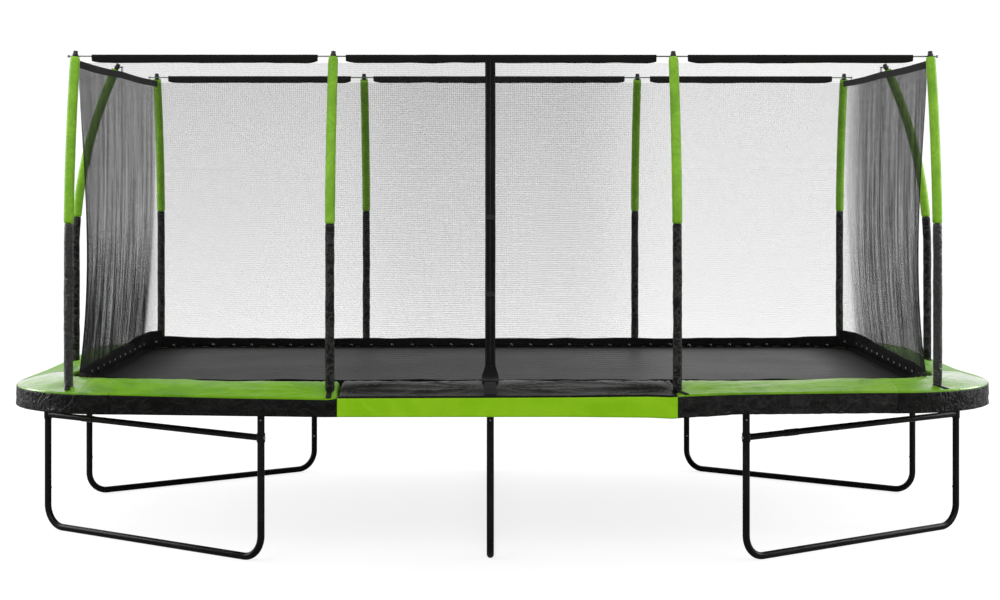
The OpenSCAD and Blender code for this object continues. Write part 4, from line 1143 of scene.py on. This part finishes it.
# Springs: height, radius of the wire and of the V-rings, counts, and how far from the rail they stretch
SPRING_Z, WIRE_R, RING_R, HELD_AT, PULLED_AT = 0.853, 0.0015, 0.015, 0.015, 0.205
LONG_SPRINGS, END_SPRINGS, CORNER_SPRINGS = 32, 14, 4
TURNS_OF_COIL, STEPS_PER_TURN, COIL_FROM, COIL_R, COIL_END_R = 14, 10, 0.043, 0.0105, 0.002
RAIL_HOOK = ((0.0095, 0, -0.009), (0.0095, 0, -0.002), (0.0125, 0, 0.0), (0.024, 0, 0.0), (0.038, 0, 0.0))


def spring_path():
    """The wire of one spring along +X from the rail's centre line: hook, cone, coil, cone, hook."""
    ring_at = SPRING_GAP - RING_R - 0.0005
    stop = ring_at - RING_R - 0.016
    steps = TURNS_OF_COIL * STEPS_PER_TURN
    path = list(RAIL_HOOK)
    for i in range(steps + 1):
        share, a = i / steps, 2 * math.pi * i / STEPS_PER_TURN
        r = COIL_END_R + (COIL_R - COIL_END_R) * min(1.0, share / 0.12, (1 - share) / 0.12)
        path.append((COIL_FROM + (stop - COIL_FROM) * share, r * math.sin(a), r * math.cos(a)))
    end = ring_at - RING_R + 0.004 + WIRE_R + 0.0005
    path += [(stop + 0.005, 0, 0.0), (end - 0.004, 0, 0.0), (end, 0, 0.002), (end, 0, 0.009)]
    return np.array(path)


def springs():
    wire = tube_rings(spring_path(), WIRE_R, 5)

    def laid(x, y, angle):
        c, s = math.cos(angle), math.sin(angle)
        out = np.array(wire)
        out[..., 0] = x + wire[..., 0] * c - wire[..., 1] * s
        out[..., 1] = y + wire[..., 0] * s + wire[..., 1] * c
        out[..., 2] += SPRING_Z
        return out

    def spread(count, half):
        return [half * (2 * (i + 0.5) / count - 1) for i in range(count)]

    rows = {}
    for side, sign in (("front", -1), ("back", 1)):
        places = [(x, sign * HALF_W, -sign * math.pi / 2) for x in spread(LONG_SPRINGS, CORNER_X)]
        rows[side] = (places, (0, sign * (HALF_W - HELD_AT), 0), (0, sign * (HALF_W - PULLED_AT), 0))
    for side, sign, angle in (("left", -1, 0.0), ("right", 1, math.pi)):
        places = [(sign * HALF_L, y, angle) for y in spread(END_SPRINGS, CORNER_Y)]
        rows[side] = (places, (sign * (HALF_L - HELD_AT), 0, 0), (sign * (HALF_L - PULLED_AT), 0, 0))
    for sx, sy in ((-1, -1), (-1, 1), (1, -1), (1, 1)):
        for i in range(CORNER_SPRINGS):
            a = math.pi / 2 * (i + 0.5) / CORNER_SPRINGS
            dx, dy = sx * math.cos(a), sy * math.sin(a)
            x, y = sx * CORNER_X + CORNER_R * dx, sy * CORNER_Y + CORNER_R * dy
            name = f"{'left' if sx < 0 else 'right'}_{'front' if sy < 0 else 'back'}_{i + 1}"
            rows[name] = ([(x, y, math.atan2(-dy, -dx))], (x - HELD_AT * dx, y - HELD_AT * dy, 0),
                          (x - PULLED_AT * dx, y - PULLED_AT * dy, 0))
    for name, (places, start, end) in rows.items():
        obj = joined(f"springs_{name}", [(laid(*p), False, True, True) for p in places], spring_wire)
        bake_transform(obj)
        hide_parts("springs")


# ---- Studio ----

# Each lamp's name, place, target, size and power
LAMPS = (
    ("key", (-4.5, -7.0, 6.5), (0, 0, 1.0), 5.0, 270),
    ("fill", (6.0, -6.0, 4.5), (0, 0, 1.0), 4.0, 150),
    ("left_strip", (-7.5, 0.5, 3.0), (-2, 0, 1.0), 3.0, 190),
    ("right_strip", (7.5, 0.5, 3.0), (2, 0, 1.0), 3.0, 210),
)
FLOOR = ((-2000, -200, 0), (2000, -200, 0), (2000, 4000, 0), (-2000, 4000, 0))
EYE, EYE_TURN = (-0.071, -11.419, 2.059), (math.pi / 2, 0, -0.0052)
LENS, SENSOR, SHIFT_Y, FARTHEST = 68.51, 36.0, -0.1331, 6000


def white_world():
    """White to the camera, and otherwise darker in front of the trampoline than behind it."""
    world = bpy.data.worlds.new("studio")
    bpy.context.scene.world = world
    world.use_nodes = True
    tree = world.node_tree
    background = tree.nodes["Background"]
    background.inputs["Color"].default_value = (1.0, 1.0, 1.0, 1)
    behind = ramp(tree, axes(tree, label="Generated")["Y"], -0.3, 0.6)
    lit = maths(tree, "MULTIPLY_ADD", behind, 0.85, 0.20)
    seen = tree.nodes.new("ShaderNodeLightPath").outputs["Is Camera Ray"]
    tree.links.new(maths(tree, "MAXIMUM", lit, seen), background.inputs["Strength"])


def white_floor():
    """A floor that glows for the camera only, so that it is white but still takes a soft shadow."""
    material, tree, shader = finish("studio_floor", roughness=0.9, specular=0.1)
    grain = use(tree, GRAIN, Scale=30.0, Drift_Scale=0.4)
    shader.inputs["Emission Color"].default_value = (1, 1, 1, 1)
    seen = tree.nodes.new("ShaderNodeLightPath").outputs["Is Camera Ray"]
    feed(tree, shader, Base_Color=mix(tree, grain["Drift"], grey(0.33), grey(0.36)),
         Emission_Strength=maths(tree, "MULTIPLY_ADD", seen, 0.76, 0.06))
    collection_piece("studio_floor", FLOOR, [[0, 1, 2, 3]], material)


def studio():
    white_world()
    white_floor()
    for name, where, target, size, power in LAMPS:
        light = bpy.data.lights.new(name, "AREA")
        light.size, light.energy = size, power
        lamp = bpy.data.objects.new(name, light)
        lamp.location = where
        lamp.rotation_euler = (Vector(target) - Vector(where)).to_track_quat("-Z", "Y").to_euler()
        bpy.context.collection.objects.link(lamp)
    camera = bpy.data.cameras.new("camera")
    camera.lens, camera.sensor_width, camera.shift_y, camera.clip_end = LENS, SENSOR, SHIFT_Y, FARTHEST
    eye = bpy.data.objects.new("camera", camera)
    eye.location, eye.rotation_euler = EYE, EYE_TURN
    bpy.context.collection.objects.link(eye)
    bpy.context.scene.camera = eye
    bpy.context.scene.view_settings.view_transform = "Standard"


studio()
sleeves()
nets()
end_straps()
entrance()
pads()
bed()
net_ties()
springs()
